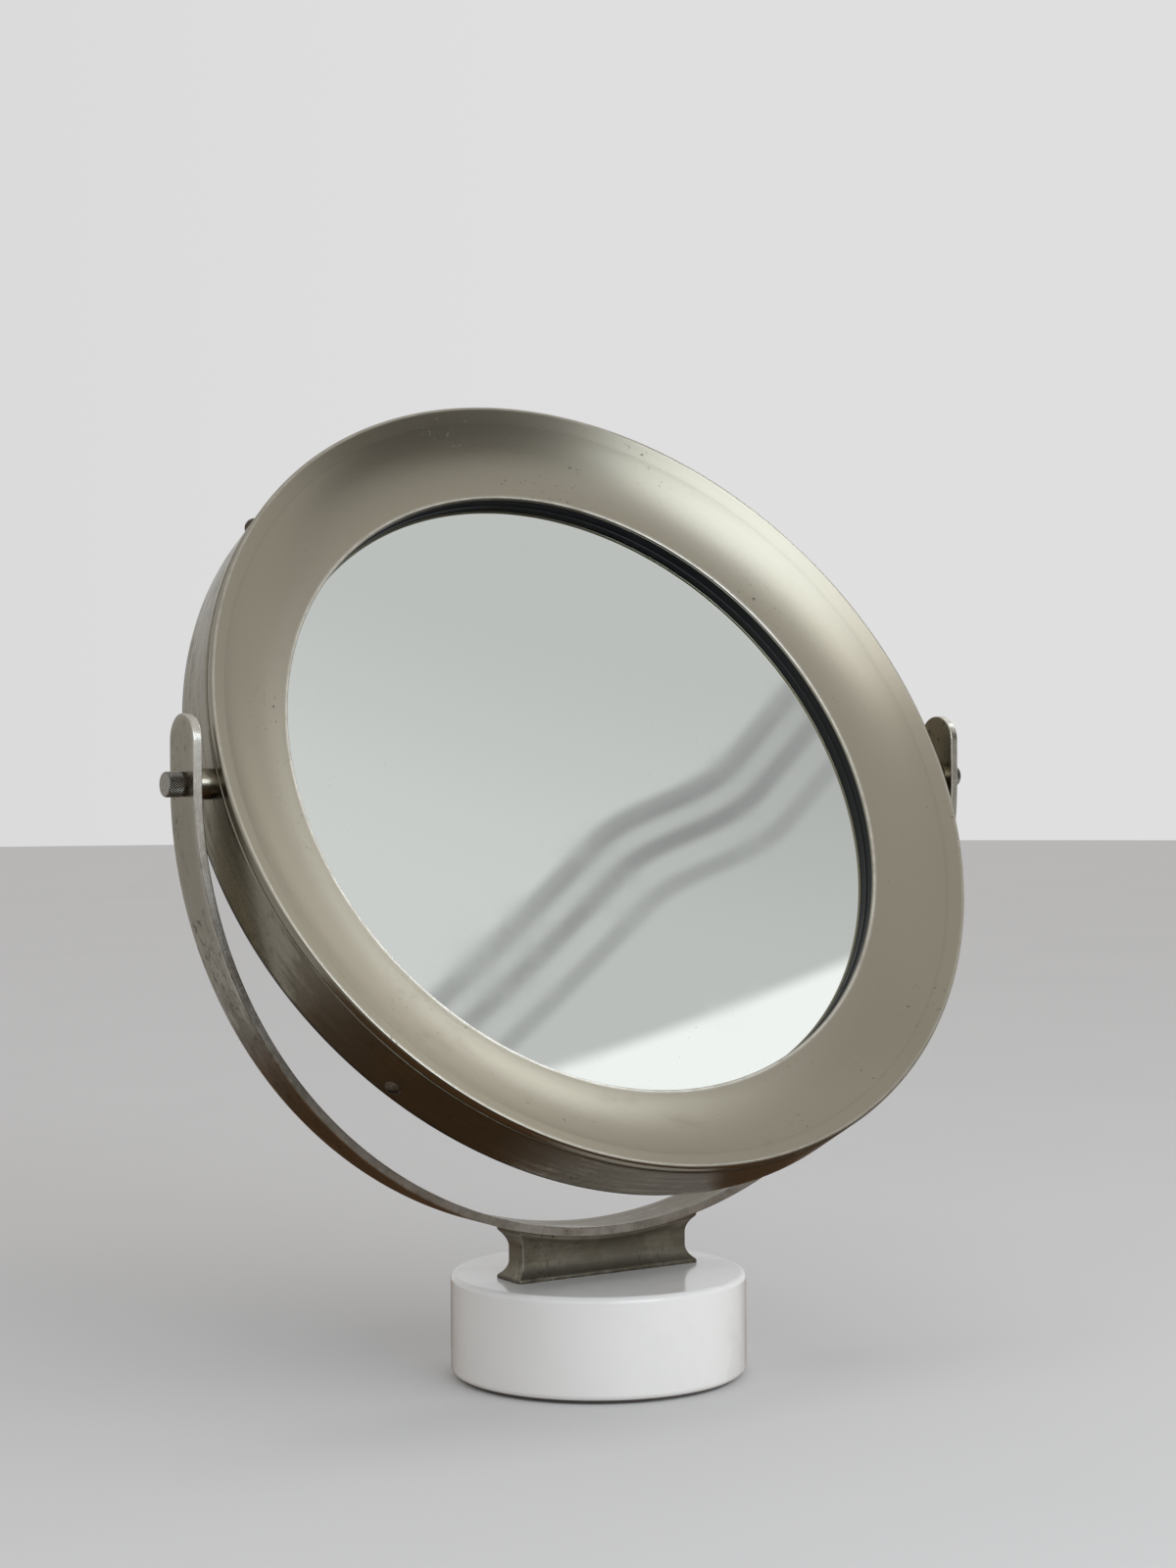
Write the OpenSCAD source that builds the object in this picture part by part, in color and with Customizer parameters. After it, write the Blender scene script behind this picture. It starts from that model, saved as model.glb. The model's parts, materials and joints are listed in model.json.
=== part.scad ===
// Table-top tilting mirror: a round framed glass held between the arms of a U yoke
// on a waisted metal pedestal and a round marble base.
// Millimetres. +X to the user's right, -Y towards the user, +Z up.
// Origin: centre of the felt pad's underside, on the table top.

/* [Base] */
// Diameter of the marble base
base_d = 150; // [120:1:190]
// Height of the marble base
base_h = 50; // [42:1:60]
// Radius of the marble's rounded edges
base_edge_r = 3; // [1:0.5:5]
// Thickness of the felt pad under the marble
felt_t = 2; // [1.5:0.5:3]
// Step from the marble's side in to the felt's edge
felt_inset = 4; // [3:0.5:8]

/* [Pedestal] */
// Length of the pedestal's foot, along X
pedestal_l = 107; // [90:1:120]
// Depth of the pedestal's foot, along Y
pedestal_w = 22.4; // [21:0.1:26]
// Height of the pedestal at its middle, under the yoke
pedestal_h = 20; // [19:0.5:26]
// Thickness of the plain edge at the foot and at the top
pedestal_edge = 2; // [1.5:0.25:2.5]
// Depth of the cove that waists the pedestal on all four sides
cove_depth = 4.3; // [3:0.1:5]

/* [Yoke] */
// Gap between the side band and the arms, which the spacers fill
arm_gap = 9; // [7:0.5:16]
// Thickness of the yoke's flat strip
yoke_t = 4.5; // [3.5:0.1:6]
// Width of the yoke's flat strip
yoke_w = 26; // [20:0.2:32]
// Height of the arms above the pivot axis
arm_rise = 33; // [28:1:45]

/* [Mirror head] */
// Angle that the glass leans back from upright
tilt_angle = 28; // [0:0.5:60]
// Outer radius of the side band
band_r = 215.5; // [170:0.1:260]
// Sheet thickness of the side band
band_t = 2; // [1.5:0.1:2.5]
// How far the side band reaches in front of the pivot axis
band_front = 10.5; // [9:0.1:13]
// How far the rim's crest stands in front of the pivot axis
rim_front = 16.5; // [15.5:0.1:20]
// Sheet thickness of the front ring
ring_t = 2; // [1.5:0.1:2.2]
// Width of the front ring's face, from the side band in to the inner lip
ring_w = 47; // [36:0.1:60]
// How far the inner lip stands behind the pivot axis
lip_back = 0.6; // [0:0.1:1]
// Width of the plain outer band of the front ring
rim_band = 7.5; // [6:0.5:10]
// Radius of the dished face between the lip and the outer band
dish_r = 98; // [90:1:180]

/* [Glass and back] */
// Depth of the black recess from the lip to the glass
recess_depth = 7.6; // [6:0.02:10]
// Thickness of the mirror glass
glass_t = 5; // [4:0.5:8]
// How far the glass reaches under the front ring
glass_lap = 9; // [7:0.5:12]
// Thickness of the felt pad behind the glass
pad_t = 2; // [1:0.25:4]
// Thickness of the hardboard behind the pad
board_t = 3; // [2.5:0.25:6]
// Sheet thickness of the rear cover
cover_t = 1.2; // [1:0.1:2]
// Step that presses the cover's middle forward on to the hardboard
press_step = 1.3; // [0.5:0.1:3]

/* [Pivots] */
// Diameter of the thumb screws' studs
stud_d = 6; // [5:0.1:7.5]
// Diameter of the knurled knobs
knob_d = 12.1; // [11:0.1:16]
// Length of the knurled knobs
knob_l = 8; // [7:0.5:14]
// Diameter of the spacers between the arms and the side band
spacer_d = 14.8; // [13:0.1:16]
// Width of the pivot nuts across their flats
nut_af = 10; // [9.5:0.5:12]
// Thickness of the pivot nuts
nut_t = 5; // [4:0.5:6]

/* [Fasteners] */
// Number of cover screws round the side band
cover_screws_n = 4; // [3:1:6]
// Distance of the cover screws from the band's rear edge
cover_screw_in = 7.5; // [5:0.25:8]
// Shank diameter of the cover screws
cover_screw_d = 4; // [3:0.5:4]
// Head diameter of the cover screws
cover_head_d = 8.6; // [7:0.2:9]
// Head height of the cover screws
cover_head_h = 2.4; // [2:0.1:3]
// Diameter of the studs that hold the yoke down
base_stud_d = 8; // [6:1:8]
// Distance between the studs that hold the yoke down
base_stud_gap = 64; // [50:1:70]

/* [Hidden] */
$fn = 96;
eps = 1;                 // overshoot of cutting tools
waist_flat = 0.6;        // flat between the pedestal's two coves, at its middle
waist_step = 0.05;       // how much deeper the flat lies than the coves
run_clear = 0.05;        // radial clearance of a shaft that turns in a bore
hole_clear = 0.1;        // radial clearance of a plain hole round a stud
face_gap = 0.05;         // gap between faces that slide on each other
sheet_gap = 0.1;         // gap between nested sheet parts

base_top = felt_t + base_h;
arm_in = band_r + arm_gap;           // inner face of the arms, from the middle
yoke_r = arm_in + yoke_t;            // outer radius of the yoke's half circle
pivot_h = base_top + pedestal_h + yoke_r;
band_in_r = band_r - band_t;         // inner radius of the side band
sight_r = band_r - ring_w;           // radius of the sight opening, at the inner lip
nut_r = nut_af / 2 / cos(30);        // radius of the pivot nuts over their corners
spacer_end = sqrt(arm_in * arm_in - spacer_d * spacer_d / 4) - face_gap; // clear of the yoke's curve

// Front ring: the dished face is an arc from the lip to the outer band.
rim_bead_r = 1.2;                    // radius of the bead along the rim's crest
rim_slope = 27;                      // slope of the plain outer band
lip_pt = [sight_r + ring_t / 2, -lip_back];
crest_r = band_r - rim_bead_r;       // radius at which the rim's bead is centred
band_pt = [crest_r - rim_band, rim_front - rim_band * tan(rim_slope)];
chord = band_pt - lip_pt;
chord_l = norm(chord);
dish_off = sqrt(dish_r * dish_r - chord_l * chord_l / 4);
dish_c = (lip_pt + band_pt) / 2 + dish_off * [-chord[1], chord[0]] / chord_l;
hem_out = band_r - 0.7;              // outer radius of the hem
skirt_r = band_in_r - sheet_gap;     // outer radius of the skirt inside the band
skirt_t = 1.6;
skirt_back = nut_r + 0.8;            // the skirt stops clear of the pivot nuts

// Glass stack, measured forward along the mirror's own axis.
glass_front = -lip_back - recess_depth;
glass_back = glass_front - glass_t;
pad_back = glass_back - pad_t;
board_back = pad_back - board_t;
glass_r = sight_r + glass_lap;
gasket_r = glass_r + 2.2;
cover_seat = board_back - press_step; // front face of the rear cover's rim
band_back = -cover_seat - sheet_gap; // how far the side band reaches behind the axis
flange_r = band_in_r - sheet_gap;    // outer radius of the rear cover's flange
flange_t = 1.9;
flange_front = -nut_r - 2.5;         // the flange stops clear of the pivot nuts
board_r = flange_r - flange_t - 1.5;

// Thumb screws: washer, knob and stud, outwards along X from the arm.
washer_t = 0.65;
washer_x = yoke_r + face_gap;
knob_x = washer_x + washer_t;
stud_in = band_in_r - nut_t - 2;     // inner end of the stud
knob_bore = knob_l - 2;              // depth of the stud inside the knob
knob_chamfer = 0.6;

// Yoke studs, nuts and washers in the marble's counterbores.
base_nut_af = base_stud_d + 5;
base_nut_t = 6.5;
base_washer_d = base_nut_af + 11;
base_washer_t = 2;
cbore_d = base_washer_d + 2;
cbore_h = 16;
cbore_top = felt_t + cbore_h;

screw_angle0 = 45;                   // first cover screw, from +X towards +Z

// Puts a shape of the mirror head in place: local Z is the mirror's forward axis,
// local Y points up the glass, and the local origin is on the pivot axis.
module in_head() {
    translate([0, 0, pivot_h]) rotate([90 - tilt_angle, 0, 0]) children();
}

// Puts a shape of a pivot in place: local Z runs outwards along the pivot axis.
module on_pivot(side) {
    translate([0, 0, pivot_h]) rotate([0, side * 90, 0]) children();
}

// A ring with a rectangular section, from z0 up to z1.
module ring(r_in, r_out, z0, z1) {
    translate([0, 0, z0]) difference() {
        cylinder(h = z1 - z0, r = r_out);
        translate([0, 0, -eps]) cylinder(h = z1 - z0 + 2 * eps, r = r_in);
    }
}

// A disc whose rims are rounded by r, from z0 up to z1.
module rounded_disc(disc_r, z0, z1, r) {
    translate([0, 0, z0]) rotate_extrude() {
        square([disc_r - r, z1 - z0]);
        translate([0, r]) square([disc_r, z1 - z0 - 2 * r]);
        for (z = [r, z1 - z0 - r])
            intersection() {
                translate([disc_r - r, z]) circle(r);
                translate([disc_r - r - eps, 0]) square([r + 2 * eps, z1 - z0]);
            }
    }
}

// Solid disc of the yoke's outer radius, which shapes what seats under the yoke.
module yoke_disc(r) {
    translate([0, 0, pivot_h]) rotate([90, 0, 0])
        cylinder(h = base_d, r = r, center = true, $fn = 256);
}

// Repeats a shape at both yoke studs.
module at_base_studs() {
    for (side = [-1, 1]) translate([side * base_stud_gap / 2, 0, 0]) children();
}

module marble_base() {
    color("whitesmoke")
    difference() {
        rounded_disc(base_d / 2, felt_t, base_top, base_edge_r);
        at_base_studs() {
            translate([0, 0, felt_t - eps]) cylinder(h = cbore_h + eps, d = cbore_d);
            cylinder(h = base_top + eps, d = base_stud_d + 6 * hole_clear);
        }
    }
}

module felt_pad() {
    color("darkslategray") cylinder(h = felt_t, d = base_d - 2 * felt_inset);
}

// The waisted block: a cove on each face, and a top that follows the yoke.
module pedestal() {
    l = pedestal_l / 2;
    w = pedestal_w / 2;
    foot = base_top + pedestal_edge;
    half_mid = (pedestal_h - waist_flat) / 2 - pedestal_edge;
    cove_r = (half_mid * half_mid + cove_depth * cove_depth) / (2 * cove_depth);
    mid_z = foot + half_mid;
    end_top = pivot_h - sqrt(yoke_r * yoke_r - l * l);
    half_end = (end_top - pedestal_edge - foot) / 2;
    end_r = (half_end * half_end + cove_depth * cove_depth) / (2 * cove_depth);
    groove_r = yoke_r + pedestal_edge + half_mid;
    color("silver")
    difference() {
        translate([-l, -w, base_top]) cube([2 * l, 2 * w, end_top - base_top]);
        yoke_disc(yoke_r);
        for (side = [-1, 1]) {
            // cove at each end
            translate([side * (l - cove_depth + end_r), 0, foot + half_end])
                rotate([90, 0, 0]) cylinder(h = 4 * w, r = end_r, center = true);
            // cove along the front and the back: one stretch follows the foot
            translate([0, side * (w - cove_depth + cove_r), mid_z])
                rotate([0, 90, 0]) cylinder(h = 4 * l, r = cove_r, center = true);
            // one stretch follows the yoke
            translate([0, side * (w - cove_depth + cove_r), pivot_h]) rotate([90, 0, 0])
                rotate_extrude($fn = 256) translate([groove_r, 0]) circle(cove_r);
            // and the waist between them is flat
            translate([0, side * (2 * w - cove_depth - waist_step), 0]) rotate([90, 0, 0])
                linear_extrude(2 * w, center = true) difference() {
                    translate([-2 * l, mid_z]) square([4 * l, end_top - mid_z]);
                    translate([0, pivot_h]) circle(groove_r, $fn = 256);
                }
        }
        at_base_studs() translate([0, 0, base_top - eps])
            cylinder(h = pedestal_h * 2, d = base_stud_d + 2 * hole_clear);
    }
}

// One bent strip: a half circle, two straight arms and their full-round ends.
module yoke() {
    color("silver")
    difference() {
        union() {
            translate([0, 0, pivot_h]) rotate([90, 0, 0])
                rotate_extrude(start = 180, angle = 180, $fn = 256)
                    translate([arm_in, -yoke_w / 2]) square([yoke_t, yoke_w]);
            for (side = [-1, 1]) on_pivot(side) translate([0, 0, arm_in]) {
                rise = arm_rise - yoke_w / 2;
                translate([side > 0 ? -rise : 0, -yoke_w / 2, 0]) cube([rise, yoke_w, yoke_t]);
                translate([-side * rise, 0, 0]) cylinder(h = yoke_t, d = yoke_w);
            }
        }
        for (side = [-1, 1]) on_pivot(side) translate([0, 0, arm_in - eps])
            cylinder(h = yoke_t + 2 * eps, r = stud_d / 2 + run_clear);
    }
}

// Studs welded to the underside of the yoke.
module yoke_studs() {
    color("silver") difference() {
        at_base_studs() translate([0, 0, felt_t + 4])
            cylinder(h = base_top + pedestal_h, d = base_stud_d);
        yoke_disc(yoke_r);
    }
}

module stud_washers() {
    color("silver") at_base_studs()
        ring(base_stud_d / 2 + hole_clear, base_washer_d / 2, cbore_top - base_washer_t, cbore_top);
}

module stud_nuts() {
    nut_top = cbore_top - base_washer_t;
    color("silver") at_base_studs() translate([0, 0, nut_top - base_nut_t]) difference() {
        cylinder(h = base_nut_t, d = base_nut_af / cos(30), $fn = 6);
        translate([0, 0, -eps])
            cylinder(h = base_nut_t + 2 * eps, r = base_stud_d / 2 + hole_clear);
    }
}

// Points along an arc about c, from angle a0 to angle a1.
function arc(c, r, a0, a1, n = 12) =
    [for (i = [0 : n]) let (a = a0 + (a1 - a0) * i / n) c + r * [cos(a), sin(a)]];

// Spun front ring: beaded lip, dished face, plain outer band, beaded rim, hem and skirt.
module front_ring() {
    lip_a = atan2(lip_pt[1] - dish_c[1], lip_pt[0] - dish_c[0]);
    band_a = atan2(band_pt[1] - dish_c[1], band_pt[0] - dish_c[0]);
    lip_c = dish_c + (dish_r + ring_t / 2) * [cos(lip_a), sin(lip_a)];
    rim_c = [crest_r, rim_front - rim_bead_r];
    hem_a = acos((hem_out - crest_r) / rim_bead_r);
    skirt_in = skirt_r - skirt_t;
    skirt_top = band_pt[1] + (skirt_in - band_pt[0]) * tan(rim_slope) - ring_t / cos(rim_slope);
    color("silver") in_head() rotate_extrude() polygon(concat(
        arc(lip_c, ring_t / 2, lip_a + 360, lip_a + 180),
        arc(dish_c, dish_r, lip_a, band_a, 24),
        arc(rim_c, rim_bead_r, 90 + rim_slope, -hem_a),
        [[hem_out, band_front + sheet_gap], [skirt_r, band_front + sheet_gap],
            [skirt_r, skirt_back], [skirt_in, skirt_back], [skirt_in, skirt_top]],
        arc(dish_c, dish_r + ring_t, band_a, lip_a, 24)));
}

// Repeats a radial shape at every cover screw: local Z runs outwards.
module at_cover_screws() {
    for (i = [0 : cover_screws_n - 1])
        rotate([0, 0, screw_angle0 + i * 360 / cover_screws_n])
            translate([0, 0, cover_screw_in - band_back]) rotate([0, 90, 0]) children();
}

// Cuts the holes for both pivots through a shape of the mirror head.
module pivot_holes(r) {
    for (side = [-1, 1]) rotate([0, side * 90, 0]) cylinder(h = yoke_r, r = r);
}

module side_band() {
    color("silver") in_head() difference() {
        ring(band_in_r, band_r, -band_back, band_front);
        pivot_holes(stud_d / 2 + hole_clear);
        at_cover_screws() cylinder(h = yoke_r, r = cover_screw_d / 2 + hole_clear);
    }
}

// Black ring that lines the recess and carries the edge of the glass.
module glass_gasket() {
    color("black") in_head() rotate_extrude() difference() {
        translate([sight_r + 0.4, glass_back])
            square([gasket_r - sight_r - 0.4, -lip_back - glass_back + ring_t]);
        translate([0, glass_back - eps]) square([glass_r + sheet_gap, glass_t + eps]);
        translate(dish_c) circle(dish_r + ring_t + sheet_gap, $fn = 360);
        translate([0, -lip_back - ring_t - sheet_gap]) square([lip_pt[0], 2 * ring_t]);
    }
}

module mirror_glass() {
    color("lightblue") in_head() translate([0, 0, glass_back]) cylinder(h = glass_t, r = glass_r);
}

module backing_pad() {
    color("dimgray") in_head() translate([0, 0, pad_back]) cylinder(h = pad_t, r = glass_r - 1.5);
}

module backing_board() {
    color("saddlebrown") in_head() translate([0, 0, board_back]) cylinder(h = board_t, r = board_r);
}

// Pressed cover: a rim flush with the side band, a flange inside it for the screws,
// and a middle pressed forward on to the hardboard.
module rear_cover() {
    press_r = board_r - 55;
    outer = cover_seat - cover_t;
    color("dimgray") in_head() difference() {
        union() {
            rotate_extrude() polygon([[0, board_back], [press_r, board_back],
                [press_r + 3 * press_step, cover_seat], [band_r - 0.3, cover_seat], [band_r - 0.3, outer],
                [press_r + 3 * press_step - 0.5, outer], [press_r - 0.5, outer + press_step],
                [0, outer + press_step]]);
            ring(flange_r - flange_t, flange_r, cover_seat - cover_t / 2, flange_front);
        }
        at_cover_screws() cylinder(h = yoke_r, r = cover_screw_d / 2 + run_clear);
    }
}

// Slotted round-head screws through the side band into the cover's flange.
module cover_screws() {
    cap_r = (cover_head_d * cover_head_d / 4 + cover_head_h * cover_head_h) / (2 * cover_head_h);
    color("black") in_head() at_cover_screws() {
        translate([0, 0, flange_r - flange_t - 0.5])
            cylinder(h = band_r - flange_r + flange_t + 1, d = cover_screw_d);
        translate([0, 0, band_r]) difference() {
            intersection() {
                cylinder(h = cover_head_h, d = cover_head_d);
                translate([0, 0, cover_head_h - cap_r]) sphere(cap_r);
            }
            translate([-cover_head_d, -0.6, cover_head_h - 1.2]) cube([2 * cover_head_d, 1.2, 2]);
        }
    }
}

// Turned spacer whose inner end is hollowed to sit on the side band.
module spacer(side) {
    color("silver") difference() {
        on_pivot(side) difference() {
            translate([0, 0, band_in_r]) cylinder(h = spacer_end - band_in_r, d = spacer_d);
            cylinder(h = yoke_r, r = stud_d / 2 + hole_clear);
        }
        in_head() cylinder(h = 4 * spacer_d, r = band_r, center = true);
    }
}

module spacer_left() { spacer(-1); }
module spacer_right() { spacer(1); }

// Hexagon nut soldered by its corners inside the side band.
module pivot_nut(side) {
    seat = sqrt(band_in_r * band_in_r - nut_r * nut_r); // its corners touch the band
    color("silver") in_head() rotate([0, side * 90, 0]) translate([0, 0, seat - nut_t])
        difference() {
            rotate([0, 0, 30]) cylinder(h = nut_t, d = nut_af / cos(30), $fn = 6);
            translate([0, 0, -eps]) cylinder(h = nut_t + 2 * eps, r = stud_d / 2 + run_clear);
        }
}

module pivot_nut_left() { pivot_nut(-1); }
module pivot_nut_right() { pivot_nut(1); }

// Knurled knob with chamfered rims, blind-bored for its stud.
module thumb_knob(side) {
    c = knob_chamfer;
    color("silver") on_pivot(side) translate([0, 0, knob_x]) difference() {
        union() {
            cylinder(h = c, d1 = knob_d - 2 * c, d2 = knob_d);
            translate([0, 0, c]) cylinder(h = knob_l - 2 * c, d = knob_d);
            translate([0, 0, knob_l - c]) cylinder(h = c, d1 = knob_d, d2 = knob_d - 2 * c);
        }
        translate([0, 0, -eps]) cylinder(h = knob_bore + eps, r = stud_d / 2 + 0.02);
    }
}

module thumb_stud(side) {
    color("silver") on_pivot(side) translate([0, 0, stud_in])
        cylinder(h = knob_x + knob_bore - stud_in, d = stud_d);
}

module knob_washer(side) {
    color("black") on_pivot(side)
        ring(stud_d / 2 + hole_clear, knob_d / 2 - 0.3, washer_x, knob_x);
}

module thumb_knob_left() { thumb_knob(-1); }
module thumb_stud_left() { thumb_stud(-1); }
module knob_washer_left() { knob_washer(-1); }
module thumb_knob_right() { thumb_knob(1); }
module thumb_stud_right() { thumb_stud(1); }
module knob_washer_right() { knob_washer(1); }

marble_base();
felt_pad();
pedestal();
yoke();
yoke_studs();
stud_washers();
stud_nuts();
front_ring();
side_band();
glass_gasket();
mirror_glass();
backing_pad();
backing_board();
rear_cover();
cover_screws();
spacer_left();
spacer_right();
pivot_nut_left();
pivot_nut_right();
thumb_knob_left();
thumb_stud_left();
knob_washer_left();
thumb_knob_right();
thumb_stud_right();
knob_washer_right();
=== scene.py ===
"""Table-top tilting mirror: surfaces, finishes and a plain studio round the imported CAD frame.

Metres. +X to the user's right, -Y towards the user, +Z up; origin under the base.
"""
import json
from collections import namedtuple
from math import atan2, cos, hypot, pi, radians, sin, sqrt, tan

import bmesh
import bpy
import numpy as np
from bpy.props import FloatProperty, FloatVectorProperty, IntProperty, PointerProperty
from mathutils import Matrix, Vector


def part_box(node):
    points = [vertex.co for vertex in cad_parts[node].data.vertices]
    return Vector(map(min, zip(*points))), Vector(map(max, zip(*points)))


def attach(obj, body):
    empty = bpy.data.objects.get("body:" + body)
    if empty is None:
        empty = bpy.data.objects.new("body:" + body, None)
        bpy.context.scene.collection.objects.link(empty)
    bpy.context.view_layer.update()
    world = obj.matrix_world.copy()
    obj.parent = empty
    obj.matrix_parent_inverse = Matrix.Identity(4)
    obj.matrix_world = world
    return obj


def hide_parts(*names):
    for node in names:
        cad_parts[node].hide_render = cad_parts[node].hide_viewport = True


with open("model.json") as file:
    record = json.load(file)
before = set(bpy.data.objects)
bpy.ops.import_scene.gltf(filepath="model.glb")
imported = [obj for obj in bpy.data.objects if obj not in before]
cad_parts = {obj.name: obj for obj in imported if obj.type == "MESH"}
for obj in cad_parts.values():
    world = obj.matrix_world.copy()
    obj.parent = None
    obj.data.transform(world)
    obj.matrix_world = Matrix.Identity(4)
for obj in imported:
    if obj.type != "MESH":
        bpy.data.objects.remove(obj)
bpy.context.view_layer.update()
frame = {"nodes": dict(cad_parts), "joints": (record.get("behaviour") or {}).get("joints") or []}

bl_info = {
    "name": "Tilting table mirror",
    "version": (1, 0, 0),
    "blender": (4, 5, 0),
    "location": "View3D > Sidebar > Mirror",
    "description": "Builds the visible surfaces of a tilting table mirror on its CAD frame",
    "category": "Object",
}

PIVOT = next(j for j in frame["joints"] if j["name"] == "tilt")["pos_m"]
GAP = 0.0001  # the smallest clearance, step or chamfer


def extent(node, axis):
    """Size of a CAD node's box along an axis."""
    low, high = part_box(node)
    return high[axis] - low[axis]


def top(node):
    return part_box(node)[1][2]


def bottom(node):
    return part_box(node)[0][2]


# ---------------------------------------------------------------- settings


def length(name, default, description, low=0.0, high=1.0):
    return FloatProperty(name=name, description=description, default=default,
                         min=low, max=high, unit="LENGTH", precision=5)


def share(name, default, description):
    return FloatProperty(name=name, description=description, default=default,
                         min=0.0, max=1.0, subtype="FACTOR")


def tint(name, default, description):
    return FloatVectorProperty(name=name, description=description, default=default,
                               min=0.0, max=1.0, size=3, subtype="COLOR")


class MirrorHeadSizes(bpy.types.PropertyGroup):
    """Sizes of the parts that tilt."""

    tilt: FloatProperty(name="Tilt at rest", default=radians(28), subtype="ANGLE",
                        description="How far the glass leans back in the frame at rest")
    band_radius: length("Band radius", extent("side_band", 0) / 2, "Outer radius of the side band")
    band_sheet: length("Band sheet", 0.002, "Sheet thickness of the side band")
    band_front: length("Band front", 0.0105, "Reach of the side band in front of the axis")
    band_back: length("Band back", 0.0194, "Reach of the side band behind the axis")
    band_edge: length("Band edge", 0.0006, "Radius on the side band's outer edges")
    ring_width: length("Ring width", 0.047, "Face of the spun ring, from the band to the lip")
    ring_sheet: length("Ring sheet", 0.002, "Sheet thickness of the spun ring")
    lip_back: length("Lip setback", 0.0006, "How far the inner lip stands behind the axis")
    dish_radius: length("Dish radius", 0.098, "Radius of the dished face's section")
    rim_front: length("Rim front", 0.0165, "How far the rim's crest stands before the axis")
    rim_band: length("Outer band width", 0.0075, "Width of the flatter band inside the rim")
    rim_slope: FloatProperty(name="Outer band slope", default=radians(27), subtype="ANGLE",
                             description="Slope of the flatter band inside the rim")
    rim_bead: length("Rim bead", 0.0012, "Radius of the bead along the rim's crest")
    hem_step: length("Hem step", 0.0005, "Step from the side band in to the hem")
    skirt_back: length("Skirt end", 0.00658, "How far the skirt's end stands before the axis")
    skirt_sheet: length("Skirt sheet", 0.0016, "Thickness of the ring's skirt")
    recess: length("Recess depth", 0.0076, "Depth from the lip to the glass")
    glass_sheet: length("Glass thickness", 0.005, "Thickness of the mirror glass")
    glass_radius: length("Glass radius", extent("mirror_glass", 0) / 2, "Radius of the glass")
    cover_sheet: length("Cover sheet", 0.0012, "Sheet thickness of the rear cover")
    cover_press: length("Cover press", 0.0013, "Step that presses the cover's middle forward")
    screw_radius: length("Screw head radius", 0.0043, "Radius of the cover screws' heads")
    screw_height: length("Screw head height", 0.0024, "Height of the cover screws' heads")
    screw_slot: length("Screw slot", 0.0012, "Width and depth of the cover screws' slots")
    screw_set_in: length("Screw set-in", 0.0075, "Cover screws' distance from the rear edge")
    screw_count: IntProperty(name="Cover screws", default=4, min=2, max=12,
                             description="Number of cover screws round the band")


class MirrorStandSizes(bpy.types.PropertyGroup):
    """Sizes of the parts that stand still, and of the thumb screws."""

    base_radius: length("Base radius", extent("marble_base", 0) / 2, "Radius of the marble base")
    base_edge: length("Base edge", 0.003, "Radius of the marble's rounded edges")
    felt_radius: length("Felt radius", extent("felt_pad", 0) / 2, "Radius of the felt pad")
    yoke_radius: length("Yoke radius", extent("yoke", 0) / 2, "Outer radius of the yoke")
    yoke_sheet: length("Yoke strip", 0.0045, "Thickness of the yoke's strip")
    yoke_width: length("Yoke width", extent("yoke", 1), "Width of the yoke's strip")
    yoke_edge: length("Yoke edge", 0.00055, "Radius on the strip's polished edges")
    arm_rise: length("Arm rise", top("yoke") - PIVOT[2], "Height of the arms above the axis")
    foot_length: length("Pedestal length", extent("pedestal", 0), "Pedestal along X")
    foot_width: length("Pedestal depth", extent("pedestal", 1), "Pedestal along Y")
    foot_edge: length("Pedestal edge", 0.002, "Plain edge at the foot and at the top")
    foot_cove: length("Pedestal cove", 0.0043, "Depth of the cove that waists the pedestal")
    waist_flat: length("Waist flat", 0.0006, "Flat between the pedestal's two coves")
    foot_ease: length("Pedestal arris", 0.0006, "How far the cove's arrises are eased")
    foot_corner: length("Pedestal corner", 0.0005, "Radius on the pedestal's upright corners")
    knob_radius: length("Knob radius", extent("thumb_knob_right", 2) / 2, "Radius over the knurl")
    knob_chamfer: length("Knob chamfer", 0.0006, "Chamfer on the knob's rims")
    knurl_count: IntProperty(name="Knurls", default=34, min=12, max=60,
                             description="Diamonds round the knob")
    knurl_depth: length("Knurl depth", 0.00042, "Depth of the knurl's grooves")
    knurl_stretch: FloatProperty(name="Knurl stretch", default=1.5, min=0.5, max=3.0,
                                 description="A diamond's length, as a share of its width")
    bore_radius: length("Bore radius", 0.0031, "Radius of the bores round the studs")
    spacer_radius: length("Spacer radius", extent("spacer_right", 2) / 2, "Radius of the spacers")


class MirrorFinishes(bpy.types.PropertyGroup):
    """Colours and roughnesses of the finishes."""

    nickel: tint("Nickel", (0.325, 0.294, 0.228), "Satin nickel where it is clean")
    tarnish: tint("Tarnish", (0.17, 0.148, 0.105), "Satin nickel where it has dulled")
    nickel_roughness: share("Nickel roughness", 0.25, "Roughness of the satin nickel")
    nickel_grain: share("Nickel grain", 0.40, "Stretch of highlights across the brushing")
    marble: tint("Marble", (0.87, 0.852, 0.822), "Ground of the marble")
    vein: tint("Vein", (0.60, 0.595, 0.59), "Veins and clouds in the marble")
    glass: tint("Silvered glass", (0.80, 0.835, 0.80), "Tint of the silvered glass")
    rubber: tint("Rubber", (0.004, 0.0045, 0.006), "Black lining of the recess")
    enamel: tint("Enamel", (0.018, 0.018, 0.019), "Black enamel of the rear cover")
    felt: tint("Felt", (0.035, 0.030, 0.026), "Felt under the base")
    blackening: tint("Blackened steel", (0.10, 0.080, 0.058), "Cover screws")
    zinc: tint("Zinc plate", (0.55, 0.56, 0.58), "Nuts, washers and studs")
    board: tint("Hardboard", (0.20, 0.11, 0.055), "Hardboard behind the glass")


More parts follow.
